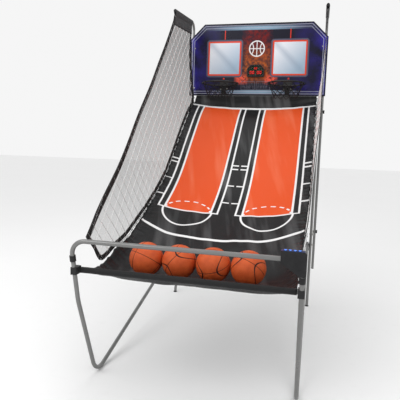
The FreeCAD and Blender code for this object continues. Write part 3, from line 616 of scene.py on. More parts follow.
def print_sign(tree, x, z, color):
    """Plain ball sign: a ring, a cross and two bows."""
    ball_x = x * (1.0 / sign_r)
    ball_z = (z - sign_z) * (1.0 / sign_r)
    from_middle = (ball_x * ball_x + ball_z * ball_z).math("SQRT")
    seams = ball_x.near(0.0, 0.05, 0.04).most(ball_z.near(0.0, 0.05, 0.04))
    bows = (ball_z * ball_z * 0.45 - ball_x.size() + 0.42).near(0.0, 0.055, 0.04)
    ring = from_middle.near(0.93, 0.07, 0.04)
    sign = ring.most(seams.most(bows) * from_middle.below(0.93, 0.04))
    return tint(tree, sign, color, (0.88, 0.88, 0.88))


# %% The whole print
trim_depth = 0.0075


def panel_print():
    """Group that puts out the print's colour from the panel's X and Z."""
    tree, start, end = new_group("panel_print", [("Vector", "NodeSocketVector", None)],
                                 [("Color", "NodeSocketColor")])
    vector = start.outputs["Vector"]
    x, y, z = split(tree, vector)
    wide = x.size()
    edge = panel_depth(x, z)
    color = print_sky(tree, vector, wide)
    color = print_fire(tree, vector, wide, z, color)
    color = print_steel(tree, wide, z, color)
    color = print_outlines(tree, edge, color)
    color = print_targets(tree, x, z, wide, color)
    color = print_notes(tree, x, z, wide, color)
    color = print_sign(tree, x, z, color)
    color = tint(tree, edge.below(trim_depth, 0.002), color, (0.006, 0.006, 0.007))
    front = y.below(panel_low.y + 0.001, 0.0005)
    back_board = tint(tree, speckle(tree, vector, 160.0, 3.0, 0.7), (0.010, 0.010, 0.011),
                      (0.026, 0.024, 0.022))
    tree.links.new(tint(tree, front, back_board, color), end.inputs["Color"])
    return tree


def panel_finish():
    """Satin printed film on the front and dull dark board behind."""
    material, tree, shader, vector = new_finish("printed_panel", 0.30)
    print_node = place_group(tree, panel_print(), vector)
    tree.links.new(print_node.outputs["Color"], shader.inputs["Base Color"])
    marks = place_group(tree, wear, vector, Scale=6.0)
    shine = Field(tree, marks.outputs["Patches"]) * 0.12 + 0.26
    tree.links.new(shine.socket, shader.inputs["Roughness"])
    bumps = place_group(tree, grain, vector, Scale=260.0)
    raise_bumps(tree, shader, bumps.outputs["Height"], 0.0002)
    return material


finishes["board_print"] = panel_finish()
print("printed panel nodes", len(bpy.data.node_groups["panel_print"].nodes))

# %% [markdown]
# ## Cloth finishes
# The ramp is black nylon with a satin face, printed with two orange lanes and white court
# lines. The lines could be strips laid on the cloth, but a real print has no thickness. It is
# drawn on the sheet's UV map, which is in metres across and along the cloth, so the lines
# bend and wrinkle with it. Webbing and pocket cloth are the same weave at another scale. The
# net is a fine knit that is partly see-through.

# %% Places on the ramp, in metres along the cloth from the front hem
court_foot = 0.945
court_top = 2.135
lane_x = 0.240
lane_half = 0.145
border_half = 0.0062
line_half = 0.0058
frame_inner_x = 0.055
frame_outer_x = 0.425
cloth_half = 0.478
arc_low = 0.662
arc_bend = 0.42
mark_rows = (1.468, 1.432, 1.262, 1.075)
ink_blur = 0.0022
print("court from", court_foot, "to", court_top)


# %% White lines of the court
def lane_lines(wide, along, on_court):
    """Borders of the lanes, lines of the frames round them, and the lines across."""
    borders = (wide - lane_x).size().near(lane_half, border_half, ink_blur) * on_court
    frames = wide.near(frame_inner_x, line_half, ink_blur).most(
        wide.near(frame_outer_x, line_half, ink_blur)) * on_court
    foot = along.near(court_foot, line_half, ink_blur) * wide.near(
        (frame_inner_x + frame_outer_x) / 2, (frame_outer_x - frame_inner_x) / 2, ink_blur)
    top = along.near(court_top, 0.011, ink_blur)
    return borders.most(frames).most(foot).most(top)


def shooting_rings(wide, along):
    """A half ring in front of each lane, and a dashed arch inside it."""
    from_lane = wide - lane_x
    from_foot = along - court_foot
    ring = (from_lane * from_lane + from_foot * from_foot).math("SQRT")
    half_ring = (ring.near(lane_half + 0.006, border_half, ink_blur)
                 * along.below(court_foot + 0.004, ink_blur))
    rise = from_foot * 1.32
    arch = (from_lane * from_lane + rise * rise).math("SQRT")
    dash = (rise.math("ARCTAN2", from_lane) * 15.0).math("SINE").above(-0.15, 0.3)
    dashed = (arch.near(lane_half - 0.006, line_half, ink_blur) * dash
              * along.above(court_foot + 0.008, ink_blur))
    return half_ring.most(dashed)


def side_marks(x, wide, along):
    """Short marks beside the lanes, and the long arc in front of them."""
    marks = along.near(mark_rows[0], line_half, ink_blur)
    for row in mark_rows[1:]:
        marks = marks.most(along.near(row, line_half, ink_blur))
    beside = wide.near(0.030, 0.022, ink_blur).most(wide.above(frame_outer_x, ink_blur))
    curve = along - x * x * arc_bend
    arc = curve.near(arc_low, 0.0105, ink_blur) * wide.below(cloth_half - 0.008, ink_blur)
    return (marks * beside).most(arc)


# %% Court print and painted sheen
def court_print_and_sheen():
    """Group that puts out the ramp's colour, print and painted satin sheen streaks, and where the
    ink lies.
    """
    tree, start, end = new_group("court_print_and_sheen", [("Vector", "NodeSocketVector", None)],
                                 [("Color", "NodeSocketColor"), ("Ink", "NodeSocketFloat")])
    vector = start.outputs["Vector"]
    x, along = split(tree, vector)[:2]
    wide = x.size()
    on_court = (along.above(court_foot - line_half, ink_blur)
                * along.below(court_top, ink_blur))
    lane = wide.near(lane_x, lane_half, ink_blur) * on_court
    white = lane_lines(wide, along, on_court).most(shooting_rings(wide, along))
    white = white.most(side_marks(x, wide, along))

    fade = speckle(tree, vector, 3.0, 3.0, 0.6) * 0.35
    orange = tint(tree, fade, (0.82, 0.088, 0.012), (0.76, 0.098, 0.018))
    black = tint(tree, speckle(tree, vector, 5.0, 4.0, 0.6), (0.0045, 0.0045, 0.0050),
                 (0.0105, 0.0105, 0.0110))
    # Painted sheen: long streaks along the cloth, lighter on the black and on the orange lanes,
    # stand in for the satin's highlights on its creases.
    sheen_streak_place = join(tree, x * 9.0 + along * 2.2, along * 1.1)
    shine = speckle(tree, sheen_streak_place, 1.0, 3.0, 0.5).above(0.58, 0.15) * 0.75
    black = tint(tree, shine, black, (0.10, 0.10, 0.102))
    orange = tint(tree, shine * 0.5, orange, (0.90, 0.24, 0.12))
    color = tint(tree, white, tint(tree, lane, black, orange), (0.90, 0.90, 0.90))
    tree.links.new(color, end.inputs["Color"])
    tree.links.new(lane.most(white).socket, end.inputs["Ink"])
    return tree


# %% Ramp, woven and net finishes
def ramp_finish():
    """Printed satin: the ink is a little duller than the bare cloth."""
    material, tree, shader, vector = new_finish("ramp_satin", 0.40, source="UV")
    ink = place_group(tree, court_print_and_sheen(), vector)
    tree.links.new(ink.outputs["Color"], shader.inputs["Base Color"])
    marks = place_group(tree, wear, vector, Scale=7.0)
    inked = Field(tree, ink.outputs["Ink"])
    patches = Field(tree, marks.outputs["Patches"])
    shine = inked * 0.10 + patches * 0.06 + 0.30
    tree.links.new(shine.socket, shader.inputs["Roughness"])
    cloth = place_group(tree, weave, vector, Threads=1400.0)
    raise_bumps(tree, shader, cloth.outputs["Height"], 0.0002, 0.6)
    shader.inputs["Specular IOR Level"].default_value = 0.20
    return material


def woven_finish(name, base, worn, threads, roughness=0.78, depth=0.0004):
    """Plain woven cloth whose pattern is in its UV map."""
    material, tree, shader, vector = new_finish(name, roughness, source="UV")
    cloth = place_group(tree, weave, vector, Threads=threads)
    height = Field(tree, cloth.outputs["Height"])
    shade = Field(tree, cloth.outputs["Shade"])
    tree.links.new(tint(tree, (height * 0.5 + shade * 0.5).above(0.5, 0.7), base, worn),
                   shader.inputs["Base Color"])
    raise_bumps(tree, shader, cloth.outputs["Height"], depth)
    return material


hole_pitch = 0.0042


def net_finish():
    """Fine pale knit: rows of small holes, so its alpha is a pattern. It grows more opaque, and so
    darker, higher up.
    """
    material, tree, shader, vector = new_finish("net_knit", 0.75)
    y, z = split(tree, vector)[1:]
    pitch = 2 * math.pi / hole_pitch
    falling = ((y + z) * pitch).math("SINE")
    rising = ((y - z) * pitch).math("SINE")
    hole = (falling * rising).size().above(0.35, 0.5)
    dust = speckle(tree, vector, 6.0, 4.0, 0.6)
    tree.links.new(tint(tree, dust, (0.10, 0.10, 0.098), (0.15, 0.15, 0.147)),
                   shader.inputs["Base Color"])
    # The film is made more opaque, and so darker, higher up.
    opaque_higher_up = z.above(1.30, 1.15)
    solid = hole * -0.06 + dust * 0.06 + opaque_higher_up * 0.42 + 0.34
    tree.links.new(solid.socket, shader.inputs["Alpha"])
    return material


# %% Make the cloth and thread finishes
finishes["ramp_fabric"] = ramp_finish()
plain_nylon = woven_finish("plain_nylon", (0.0050, 0.0050, 0.0055), (0.0120, 0.0120, 0.0125),
                           1400.0, roughness=0.5, depth=0.0002)
finishes["net_fabric"] = net_finish()
finishes["pocket_fabric"] = woven_finish("pocket_cloth", (0.022, 0.022, 0.023),
                                         (0.085, 0.085, 0.088), 700.0)
webbing_finish = woven_finish("black_webbing", (0.007, 0.007, 0.007), (0.026, 0.026, 0.026), 620.0)
thread_finish = plain_finish("white_thread", (0.86, 0.86, 0.86), (0.76, 0.76, 0.75), 0.7, 0.8,
                             grain_scale=2500.0)
lace_finish = plain_finish("black_lace", (0.008, 0.008, 0.008), (0.028, 0.028, 0.028), 0.7, 0.82,
                           grain_scale=3000.0, grain_depth=0.0003)
stitch_finish = plain_finish("grey_stitch", (0.09, 0.09, 0.09), (0.16, 0.16, 0.16), 0.7, 0.8,
                             grain_scale=3000.0)
print("cloth finishes ready")

# %% [markdown]
# ## Control case
# The case is black moulded plastic, and a dark blue film lies round the buttons on its top.
# The film is too thin to be a piece, so it is a colour above a height just under the top
# face, taken from the case's own box.


# %% Control case
def case_finish():
    """Black moulded case whose top strip round the buttons is dark blue."""
    material, tree, shader, vector = new_finish("control_case", 0.45)
    case_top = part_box("control_box_front")[1].z
    z = split(tree, vector)[2]
    marks = place_group(tree, wear, vector, Scale=20.0)
    black = tint(tree, Field(tree, marks.outputs["Patches"]), (0.009, 0.009, 0.010),
                 (0.018, 0.018, 0.019))
    strip = z.above(case_top - 0.0012, 0.0004)
    tree.links.new(tint(tree, strip, black, (0.010, 0.024, 0.085)), shader.inputs["Base Color"])
    bumps = place_group(tree, grain, vector, Scale=1500.0)
    raise_bumps(tree, shader, bumps.outputs["Height"], 0.0002)
    return material


control_case = case_finish()
print("case finish", control_case.name)

# %% [markdown]
# ## Skin of the balls
# The balls are orange rubber with small pebbles and black grooves: two rings at right angles
# and two ovals. A picture wrapped round a ball pinches at its poles. Each point of a ball
# keeps its direction from the middle instead, and the grooves are a formula of it.

# %% Ball skin
groove_half = 0.014
groove_blur = 0.009
oval_wide = 0.62
oval_tall = 0.90


def ball_skin():
    """Orange rubber with black grooves. The place on the ball comes from an attribute."""
    material, tree, shader, place = new_finish("ball_skin", 0.48, source="place")
    x, _, z = split(tree, place)
    round_x = (x * (1 / oval_wide)).math("POWER", 2.0)
    round_z = (z * (1 / oval_tall)).math("POWER", 2.0)
    oval = ((round_x + round_z).math("SQRT") - 1.0) * 0.66
    groove = x.near(0.0, groove_half, groove_blur)
    groove = groove.most(z.near(0.0, groove_half, groove_blur))
    groove = groove.most(oval.near(0.0, groove_half, groove_blur))
    marks = place_group(tree, wear, place, Scale=2.5)
    skin = tint(tree, Field(tree, marks.outputs["Patches"]), (0.68, 0.118, 0.028),
                (0.55, 0.082, 0.020))
    tree.links.new(tint(tree, groove, skin, (0.010, 0.009, 0.009)), shader.inputs["Base Color"])
    pebbles = tree.nodes.new("ShaderNodeTexVoronoi")
    pebbles.inputs["Scale"].default_value = 46.0
    tree.links.new(place, pebbles.inputs["Vector"])
    bump = Field(tree, pebbles.outputs["Distance"]).below(0.55, 0.5)
    bump = bump.least(groove * -1.0 + 1.0)
    raise_bumps(tree, shader, bump.socket, 0.0006, 0.8)
    tree.links.new((groove * 0.12 + 0.46).socket, shader.inputs["Roughness"])
    return material


finishes["ball_rubber"] = ball_skin()
print("ball skin", finishes["ball_rubber"].name)

# %% [markdown]
# ## Every carried-over piece gets its finish
# The record names a slot for each piece, so one loop serves all of them. Only the buttons,
# whose glow is measured from their own middle, and the control case have one of their own.

# %% Put a finish on every carried-over node
for part in frame["record"]["subparts"]:
    node_name = part["node"]
    node = frame["nodes"][node_name]
    if part["material_slot"] == "button_plastic":
        low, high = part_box(node_name)
        chosen = button_finish(node_name + "_blue", (low + high) / 2, (high - low) / 2)
    elif node_name in ("control_box_front", "control_box_back"):
        chosen = control_case
    else:
        chosen = finishes[part["material_slot"]]
    node.data.materials.clear()
    node.data.materials.append(chosen)

# %% [markdown]
# ## Lines and sheets
# A cloth edge is described by a few chosen points, and a soft curve runs through them. A
# sheet is rows of points joined into squares. Its UV map is in metres wherever it has a weave
# or a print, so that the pattern keeps its real scale however the sheet bends.


# %% Line helpers
def running(points):
    """Distance reached at each point of a line."""
    reach = [0.0]
    for before, after in zip(points, points[1:]):
        reach.append(reach[-1] + (after - before).length)
    return reach


def line_length(line):
    """Whole length of a line."""
    return running(line)[-1]


def even_points(line, count):
    """Points at equal distances along a line."""
    reach = running(line)
    found = []
    k = 0
    for n in range(count):
        want = reach[-1] * n / (count - 1)
        while k < len(line) - 2 and reach[k + 1] < want:
            k += 1
        share = (want - reach[k]) / max(reach[k + 1] - reach[k], 1e-9)
        found.append(line[k].lerp(line[k + 1], share))
    return found


def smooth_line(points, count, steps=24):
    """Even points along a soft curve that passes through the chosen ones."""
    points = [Vector(p) for p in points]
    around = [points[0] * 2 - points[1], *points, points[-1] * 2 - points[-2]]
    fine = []
    for a, b, c, d in zip(around, around[1:], around[2:], around[3:]):
        for k in range(steps):
            t = k / steps
            fine.append((b * 2 + (c - a) * t + (a * 2 - b * 5 + c * 4 - d) * t * t
                         + (b * 3 - a - c * 3 + d) * t ** 3) / 2)
    fine.append(points[-1])
    return even_points(fine, count)


# %% Sheet helpers
def sheet_mesh(name, rows, across, along, finish, closed=False, capped=False):
    """Mesh of rows of points. across and along are the UV values of each column and row.
    closed joins the last column to the first, and capped shuts both ends."""
    columns = len(rows[0])
    corners = [point for row in rows for point in row]
    faces = []
    places = []
    last = columns if closed else columns - 1
    for i in range(len(rows) - 1):
        for j in range(last):
            k = (j + 1) % columns
            faces.append((i * columns + j, i * columns + k,
                          (i + 1) * columns + k, (i + 1) * columns + j))
            places += [(across[j], along[i]), (across[j + 1], along[i]),
                       (across[j + 1], along[i + 1]), (across[j], along[i + 1])]
    if capped:
        for i in (0, len(rows) - 1):
            ring = [i * columns + j for j in range(columns)]
            faces.append(tuple(ring if i else reversed(ring)))
            places += [(0.0, along[i])] * columns
    mesh = bpy.data.meshes.new(name)
    mesh.from_pydata([tuple(c) for c in corners], [], faces)
    layer = mesh.uv_layers.new(name="UVMap")
    layer.data.foreach_set("uv", [value for place in places for value in place])
    mesh.polygons.foreach_set("use_smooth", [True] * len(mesh.polygons))
    mesh.materials.append(finish)
    if capped:
        turn_outward(mesh)
    piece = bpy.data.objects.new(name, mesh)
    bpy.context.scene.collection.objects.link(piece)
    return piece


def turn_outward(mesh):
    """Make every face of a closed mesh point outward."""
    shape = bmesh.new()
    shape.from_mesh(mesh)
    bmesh.ops.recalc_face_normals(shape, faces=shape.faces)
    shape.to_mesh(mesh)
    shape.free()


# %% Thickness
cloth_thickness = 0.0012


def give_thickness(piece, under=None):
    """Second face on the under side of a cloth, with its own finish where one is given."""
    layer = piece.modifiers.new("cloth thickness", "SOLIDIFY")
    layer.thickness = cloth_thickness
    layer.offset = -1.0
    if under:
        piece.data.materials.append(under)
        layer.material_offset = 1


# %% Soft steps and noise
def ease(value, low, high):
    """0 below low, 1 above high, smooth between."""
    t = min(1.0, max(0.0, (value - low) / (high - low)))
    return t * t * (3 - 2 * t)


def ripple(*place, seed=0.0):
    """Smooth noise from about -1 to 1 that is the same on every run. It takes two or three
    numbers, and the seed stands in for a third that isn't given."""
    return noise.noise(Vector((*place, seed)[:3]) + Vector((seed, seed * 0.7, seed * 0.3)))


print("line and sheet helpers ready")


# %% [markdown]
# ## The cloth and the fold
# The front frame swings up about the pivot bolts for storage, and the cloth between the two
# frames goes slack. Splitting it at the pivots would tear it. Here the cloth is not made to
# bend with the fold: each piece is only fixed where it lies, with its transform baked into its
# points.

# %% Places shared by the cloth pieces, and fixing a piece where it lies
front_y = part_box("front_bar")[0].y + 0.010
net_low, net_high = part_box("right_side_net")
pocket_low, pocket_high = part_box("net_pockets")
both_sides = ((-1, "left"), (1, "right"))


def follow_fold(piece):
    """Cloth fixed where it lies, with its transform baked into its points."""
    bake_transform(piece)
    return piece


# %% [markdown]
# ## The ramp
# On the machine this is one long piece of nylon. It is hemmed round the low front bar, dips
# into a trough that holds the balls, climbs to the panel and is sewn into a hem under it.
# Its sides are laced to the nets, so they stand higher than its middle. A cloth simulation
# could drape it, but it is held along all four edges, so its shape is known beforehand.
# Two lines, one for the middle and one for the laced edges, give the whole surface. Long soft
# folds run down the slope, and small gathers sit between the lacing points.

# %% Lines of the ramp: distance behind the front bar, and height
ramp_middle = [(0.066, 0.549), (0.13, 0.516), (0.22, 0.4895), (0.32, 0.4835), (0.43, 0.499),
               (0.60, 0.570), (0.95, 0.706), (1.265, 0.875), (1.55, 1.108), (1.80, 1.325),
               (1.93, 1.412), (1.982, 1.468), (1.992, 1.5255)]
ramp_edge = [(0.066, 0.549), (0.12, 0.539), (0.20, 0.538), (0.30, 0.549), (0.436, 0.589),
             (0.638, 0.632), (0.95, 0.758), (1.265, 0.930), (1.55, 1.180), (1.80, 1.385),
             (1.94, 1.468), (1.984, 1.503), (1.992, 1.5255)]
ramp_rows = 300
ramp_columns = 120
lace_pitch = 0.078
long_fold = 0.0090
short_fold = 0.0048
crumple_height = 0.004
rim_start = 0.80
gather_height = 0.0016
rim_wave = 0.006
scallop_depth = 0.0020
trough_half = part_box("trough_cloth")[1].x
ramp_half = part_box("ramp_cloth")[1].x
middle_line = smooth_line([(0.0, *p) for p in ramp_middle], ramp_rows + 1)
edge_line = smooth_line([(0.0, *p) for p in ramp_edge], ramp_rows + 1)
ramp_reach = (line_length(middle_line) + line_length(edge_line)) / 2
print("ramp cloth length", round(ramp_reach, 3), "half width", round(ramp_half, 4))


# %% One point of the ramp
def ramp_point(row, share):
    """Point of the cloth. share runs from -1 at the left edge to 1 at the right."""
    reach = ramp_reach * row / ramp_rows
    on_slope = ease(reach, 0.45, 0.95)
    half = trough_half + (ramp_half - trough_half) * ease(reach, 0.5, 0.9)
    power = 7.0 - 4.6 * on_slope
    lift = abs(share) ** power
    base = middle_line[row].lerp(edge_line[row], lift)
    before = middle_line[max(row - 1, 0)]
    after = middle_line[min(row + 1, ramp_rows)]
    way = (after - before).normalized()
    normal = Vector((0.0, -way.z, way.y))

    held = ease(reach, 0.0, 0.06) * ease(ramp_reach - reach, 0.0, 0.05)
    x = share * half
    fold_height = long_fold * ripple(x * 6.0, reach * 0.9, seed=3.1)
    fold_height += short_fold * ripple(x * 15.0 + reach * 2.0, reach * 1.8, seed=7.7)
    fold_height *= 0.35 + 0.85 * ease(1.5 - reach, 0.0, 0.9)
    under_balls = ease(reach, 0.05, 0.16) * ease(0.62 - reach, 0.0, 0.12)
    crumple = crumple_height * ripple(x * 11.0, reach * 9.0, seed=1.3)
    fold_height = fold_height * (1 - under_balls) - abs(crumple) * under_balls

    rim = ease(abs(share), rim_start, 1.0)
    beat = math.cos(2 * math.pi * reach / lace_pitch)
    uneven = 2 * ripple(reach * 3, x, seed=5.0)
    gather = gather_height * rim * math.cos(4 * math.pi * reach / lace_pitch + uneven)
    gather += rim_wave * rim * ripple(reach * 22.0, x * 9.0, seed=9.0)
    x -= math.copysign(scallop_depth * rim ** 3 * (1 + beat), x)
    place = base + normal * (fold_height + gather) * held
    return Vector((x, front_y + place.y, place.z))


# %% Make the ramp
shares = [2 * j / ramp_columns - 1 for j in range(ramp_columns + 1)]
ramp_points = [[ramp_point(i, share) for share in shares] for i in range(ramp_rows + 1)]
return_ramp = sheet_mesh("return_ramp", ramp_points, [share * ramp_half for share in shares],
                         [ramp_reach * i / ramp_rows for i in range(ramp_rows + 1)],
                         finishes["ramp_fabric"])
give_thickness(return_ramp, plain_nylon)
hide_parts("ramp_cloth", "trough_cloth")
follow_fold(return_ramp)
print("ramp points", len(return_ramp.data.vertices))

# %% [markdown]
# ## Rope, loops and stitches by Geometry Nodes
# Threads, lacing and stitches all repeat something along a line. Three small node trees do
# it: one gives lines a round thickness, one stands loops at a pitch along a line, and one
# lays stitches end to end. Each takes bare edges, and its result becomes a plain mesh.


# %% Start and end of a tree
def line_tree(name, sizes):
    """Geometry Nodes tree that starts from lines and has named sizes and a finish."""
    tree = bpy.data.node_groups.new(name, "GeometryNodeTree")
    tree.interface.new_socket("Geometry", in_out="INPUT", socket_type="NodeSocketGeometry")
    for label in sizes:
        tree.interface.new_socket(label, in_out="INPUT", socket_type="NodeSocketFloat")
    tree.interface.new_socket("Finish", in_out="INPUT", socket_type="NodeSocketMaterial")
    tree.interface.new_socket("Geometry", in_out="OUTPUT", socket_type="NodeSocketGeometry")
    start = tree.nodes.new("NodeGroupInput")
    curve = tree.nodes.new("GeometryNodeMeshToCurve")
    tree.links.new(start.outputs["Geometry"], curve.inputs["Mesh"])
    return tree, start, curve.outputs["Curve"]


def end_tree(tree, start, geometry):
    """Realize, smooth and give the finish."""
    real = tree.nodes.new("GeometryNodeRealizeInstances")
    smooth = tree.nodes.new("GeometryNodeSetShadeSmooth")
    coat = tree.nodes.new("GeometryNodeSetMaterial")
    finish = tree.nodes.new("NodeGroupOutput")
    tree.links.new(geometry, real.inputs[0])
    tree.links.new(real.outputs[0], smooth.inputs["Geometry"])
    tree.links.new(smooth.outputs["Geometry"], coat.inputs["Geometry"])
    tree.links.new(start.outputs["Finish"], coat.inputs["Material"])
    tree.links.new(coat.outputs["Geometry"], finish.inputs["Geometry"])


# %% Steps that the trees share
def round_profile(tree, sides, diameter):
    """Circle whose diameter is a socket of the tree."""
    circle = tree.nodes.new("GeometryNodeCurvePrimitiveCircle")
    circle.inputs["Resolution"].default_value = sides
    half = tree.nodes.new("ShaderNodeMath")
    half.operation = "MULTIPLY"
    half.inputs[1].default_value = 0.5
    tree.links.new(diameter, half.inputs[0])
    tree.links.new(half.outputs[0], circle.inputs["Radius"])
    return circle.outputs["Curve"]


def stand_along(tree, start, curve, shape):
    """Copies of a shape at a pitch along a line, with their Z along it."""
    spots = tree.nodes.new("GeometryNodeCurveToPoints")
    spots.mode = "LENGTH"
    copies = tree.nodes.new("GeometryNodeInstanceOnPoints")
    tree.links.new(curve, spots.inputs["Curve"])
    tree.links.new(start.outputs["Pitch"], spots.inputs["Length"])
    tree.links.new(spots.outputs["Points"], copies.inputs["Points"])
    tree.links.new(spots.outputs["Rotation"], copies.inputs["Rotation"])
    tree.links.new(shape, copies.inputs["Instance"])
    return copies.outputs["Instances"]


# %% Rope on lines
def rope_tree(sides):
    """Tree that makes lines into round rope with a number of sides."""
    tree, start, curve = line_tree("rope_on_lines_%d" % sides, ["Thickness"])
    tube = tree.nodes.new("GeometryNodeCurveToMesh")
    tube.inputs["Fill Caps"].default_value = True
    tree.links.new(curve, tube.inputs["Curve"])
    tree.links.new(round_profile(tree, sides, start.outputs["Thickness"]),
                   tube.inputs["Profile Curve"])
    end_tree(tree, start, tube.outputs["Mesh"])
    return tree


# %% Loops along a line
def loop_tree(lean):
    """Tree that stands small rings along a line, each leaning over by an angle."""
    tree, start, curve = line_tree("loops_on_line_%d" % round(lean * 100),
                                   ["Pitch", "Loop Radius", "Thickness"])
    ring = tree.nodes.new("GeometryNodeCurvePrimitiveCircle")
    ring.inputs["Resolution"].default_value = 16
    tree.links.new(start.outputs["Loop Radius"], ring.inputs["Radius"])
    turn = tree.nodes.new("GeometryNodeTransform")
    turn.inputs["Rotation"].default_value = (lean, lean * 0.4, 0.0)
    tree.links.new(ring.outputs["Curve"], turn.inputs["Geometry"])
    wire = tree.nodes.new("GeometryNodeCurveToMesh")
    tree.links.new(turn.outputs["Geometry"], wire.inputs["Curve"])
    tree.links.new(round_profile(tree, 6, start.outputs["Thickness"]),
                   wire.inputs["Profile Curve"])
    end_tree(tree, start, stand_along(tree, start, curve, wire.outputs["Mesh"]))
    return tree


# %% Stitches along a line
def stitch_tree():
    """Tree that lays small beads end to end along a line."""
    tree, start, curve = line_tree("stitches_on_line", ["Pitch", "Length", "Thickness"])
    bead = tree.nodes.new("GeometryNodeMeshUVSphere")
    bead.inputs["Segments"].default_value = 6
    bead.inputs["Rings"].default_value = 5
    bead.inputs["Radius"].default_value = 0.5
    size = tree.nodes.new("ShaderNodeCombineXYZ")
    tree.links.new(start.outputs["Thickness"], size.inputs["X"])
    tree.links.new(start.outputs["Thickness"], size.inputs["Y"])
    tree.links.new(start.outputs["Length"], size.inputs["Z"])
    scaled = tree.nodes.new("GeometryNodeTransform")
    tree.links.new(bead.outputs["Mesh"], scaled.inputs["Geometry"])
    tree.links.new(size.outputs[0], scaled.inputs["Scale"])
    end_tree(tree, start, stand_along(tree, start, curve, scaled.outputs["Geometry"]))
    return tree


# %% Build the trees
rope_round = rope_tree(8)
rope_thin = rope_tree(4)
lace_loops = loop_tree(0.55)
rim_loops = loop_tree(0.2)
stitches = stitch_tree()
print("trees", [tree.name for tree in (rope_round, rope_thin, lace_loops, rim_loops, stitches)])


# %% Put a tree on lines and keep the plain mesh
def made_along(name, lines, tree, finish, **sizes):
    """Piece that a tree makes along lines of points. Sizes are the tree's named inputs."""
    corners = []
    edges = []
    for line in lines:
        first = len(corners)
        corners += [tuple(p) for p in line]
        edges += [(first + k, first + k + 1) for k in range(len(line) - 1)]
    mesh = bpy.data.meshes.new(name + "_lines")
    mesh.from_pydata(corners, edges, [])
    piece = bpy.data.objects.new(name, mesh)
    bpy.context.scene.collection.objects.link(piece)
    maker = piece.modifiers.new("maker", "NODES")
    maker.node_group = tree
    wanted = {label.replace("_", " ").title(): value for label, value in sizes.items()}
    wanted["Finish"] = finish
    for socket in tree.interface.items_tree:
        if socket.in_out == "INPUT" and socket.name in wanted:
            maker[socket.identifier] = wanted[socket.name]
    graph = bpy.context.evaluated_depsgraph_get()
    plain = bpy.data.meshes.new_from_object(piece.evaluated_get(graph))
    piece.modifiers.clear()
    turn_outward(plain)
    piece.data = plain
    bpy.data.meshes.remove(mesh)
    plain.name = name
    print(name, "faces", len(plain.polygons))
    return piece

# %% [markdown]
# ## Sleeve round the low front bar
# The front end of the ramp is turned round the lower bar and sewn back on itself, so the
# bar is hidden in a tube of the same black cloth. Thickening the bar would change a piece
# that is already right, so the sleeve is a snug roll of its own with small wrinkles.

# %% Make the sleeve
bar_low, bar_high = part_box("lower_front_bar")
bar_middle = (bar_low + bar_high) / 2
sleeve_radius = 0.0132
sleeve_sides = 28
sleeve_steps = 160
wrinkle_height = 0.0012
sleeve_rows = []
for i in range(sleeve_steps + 1):
    x = trough_half * (2 * i / sleeve_steps - 1)
    row = []
    for j in range(sleeve_sides):
        angle = 2 * math.pi * j / sleeve_sides
        wrinkle = abs(ripple(x * 30.0, math.cos(angle) * 1.4, seed=2.0))
        radius = sleeve_radius + wrinkle_height * wrinkle
        row.append(Vector((x, bar_middle.y + radius * math.cos(angle),
                           bar_middle.z + radius * math.sin(angle))))
    sleeve_rows.append(row)
sleeve_round = 2 * math.pi * sleeve_radius
hem_sleeve = sheet_mesh("hem_sleeve", sleeve_rows,
                        [sleeve_round * j / sleeve_sides for j in range(sleeve_sides + 1)],
                        [2 * trough_half * i / sleeve_steps for i in range(sleeve_steps + 1)],
                        plain_nylon, closed=True)
give_thickness(hem_sleeve)
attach(hem_sleeve, "front_frame")
print("sleeve round the bar", round(sleeve_round, 4))

# %% [markdown]
# ## Side nets
# Each side is closed by a thin see-through film with a white diamond cord net over it. On
# the machine the film and net are one laminated cloth, cut to shape, bound on its free edge
# with black webbing and laced at its foot to the ramp. Its front corner is strapped down to
# the lower bar, and its top hides in the pocket that slips over the net arm. A picture of
# diamonds on the film would look flat, so the cords are real ropes, and only the knit between
# them is a pattern. The patch lies between an upper line and a lower line, and leans outward
# toward the top.

# %% Outline of the nets: distance behind the front bar, and height
net_free_edge = [(0.112, 0.696), (0.17, 0.737), (0.312, 0.845), (0.551, 1.039),
                 (0.897, 1.365), (1.254, 1.730), (1.453, 1.960), (1.500, 2.030)]
net_rear_top = (pocket_high.y - front_y, 2.060)
net_rear_foot = (net_high.y - front_y, 1.462)
net_under_pocket = [(1.65, 2.040), net_rear_top]
net_foot = [(0.264, 0.556), (0.436, 0.594), (0.638, 0.637), (0.95, 0.763), (1.265, 0.935),
            (1.55, 1.185), (1.80, 1.388), net_rear_foot]
net_strap = [(0.116, 0.690), (0.18, 0.634)]
net_line_points = 181
upper_line = smooth_line([(0.0, *p) for p in net_free_edge + net_under_pocket], net_line_points)
lower_line = smooth_line([(0.0, *p) for p in net_strap + net_foot], net_line_points)
outline = [(p.y, p.z) for p in upper_line] + [(p.y, p.z) for p in reversed(lower_line)]
net_foot_x = net_low.x - 0.002
arm_x = net_high.x - 0.0017
film_steps = 44
diamond = 0.092
print("net's upper line", round(line_length(upper_line), 3))


# %% A place on a net
def foot_height(back):
    """Height of the net's foot at a distance behind the front bar."""
    for before, after in zip(lower_line, lower_line[1:]):
        if before.y <= back <= after.y:
            return before.z + (after.z - before.z) * (back - before.y) / (after.y - before.y)
    return lower_line[0].z if back < lower_line[0].y else lower_line[-1].z


def net_x(back, z):
    """How far out the net is: it leans from the ramp's edge out to the net arm."""
    foot = foot_height(back)
    foot_x = net_foot_x - 0.010 * (1 - ease(back, 0.35, 0.80))
    share = min(1.0, max(0.0, (z - foot) / (0.8 * (net_high.z - foot))))
    billow = 0.006 * ripple(back * 3.0, z * 3.0, seed=4.0) * ease(1 - share, 0.0, 0.3)
    return foot_x + (arm_x - foot_x) * math.sin(share * math.pi / 2) + billow


def on_net(side, back, z, out=0.0):
    """Point of the net, or of a layer a little outside it."""
    return Vector((side * (net_x(back, z) + out), front_y + back, z))


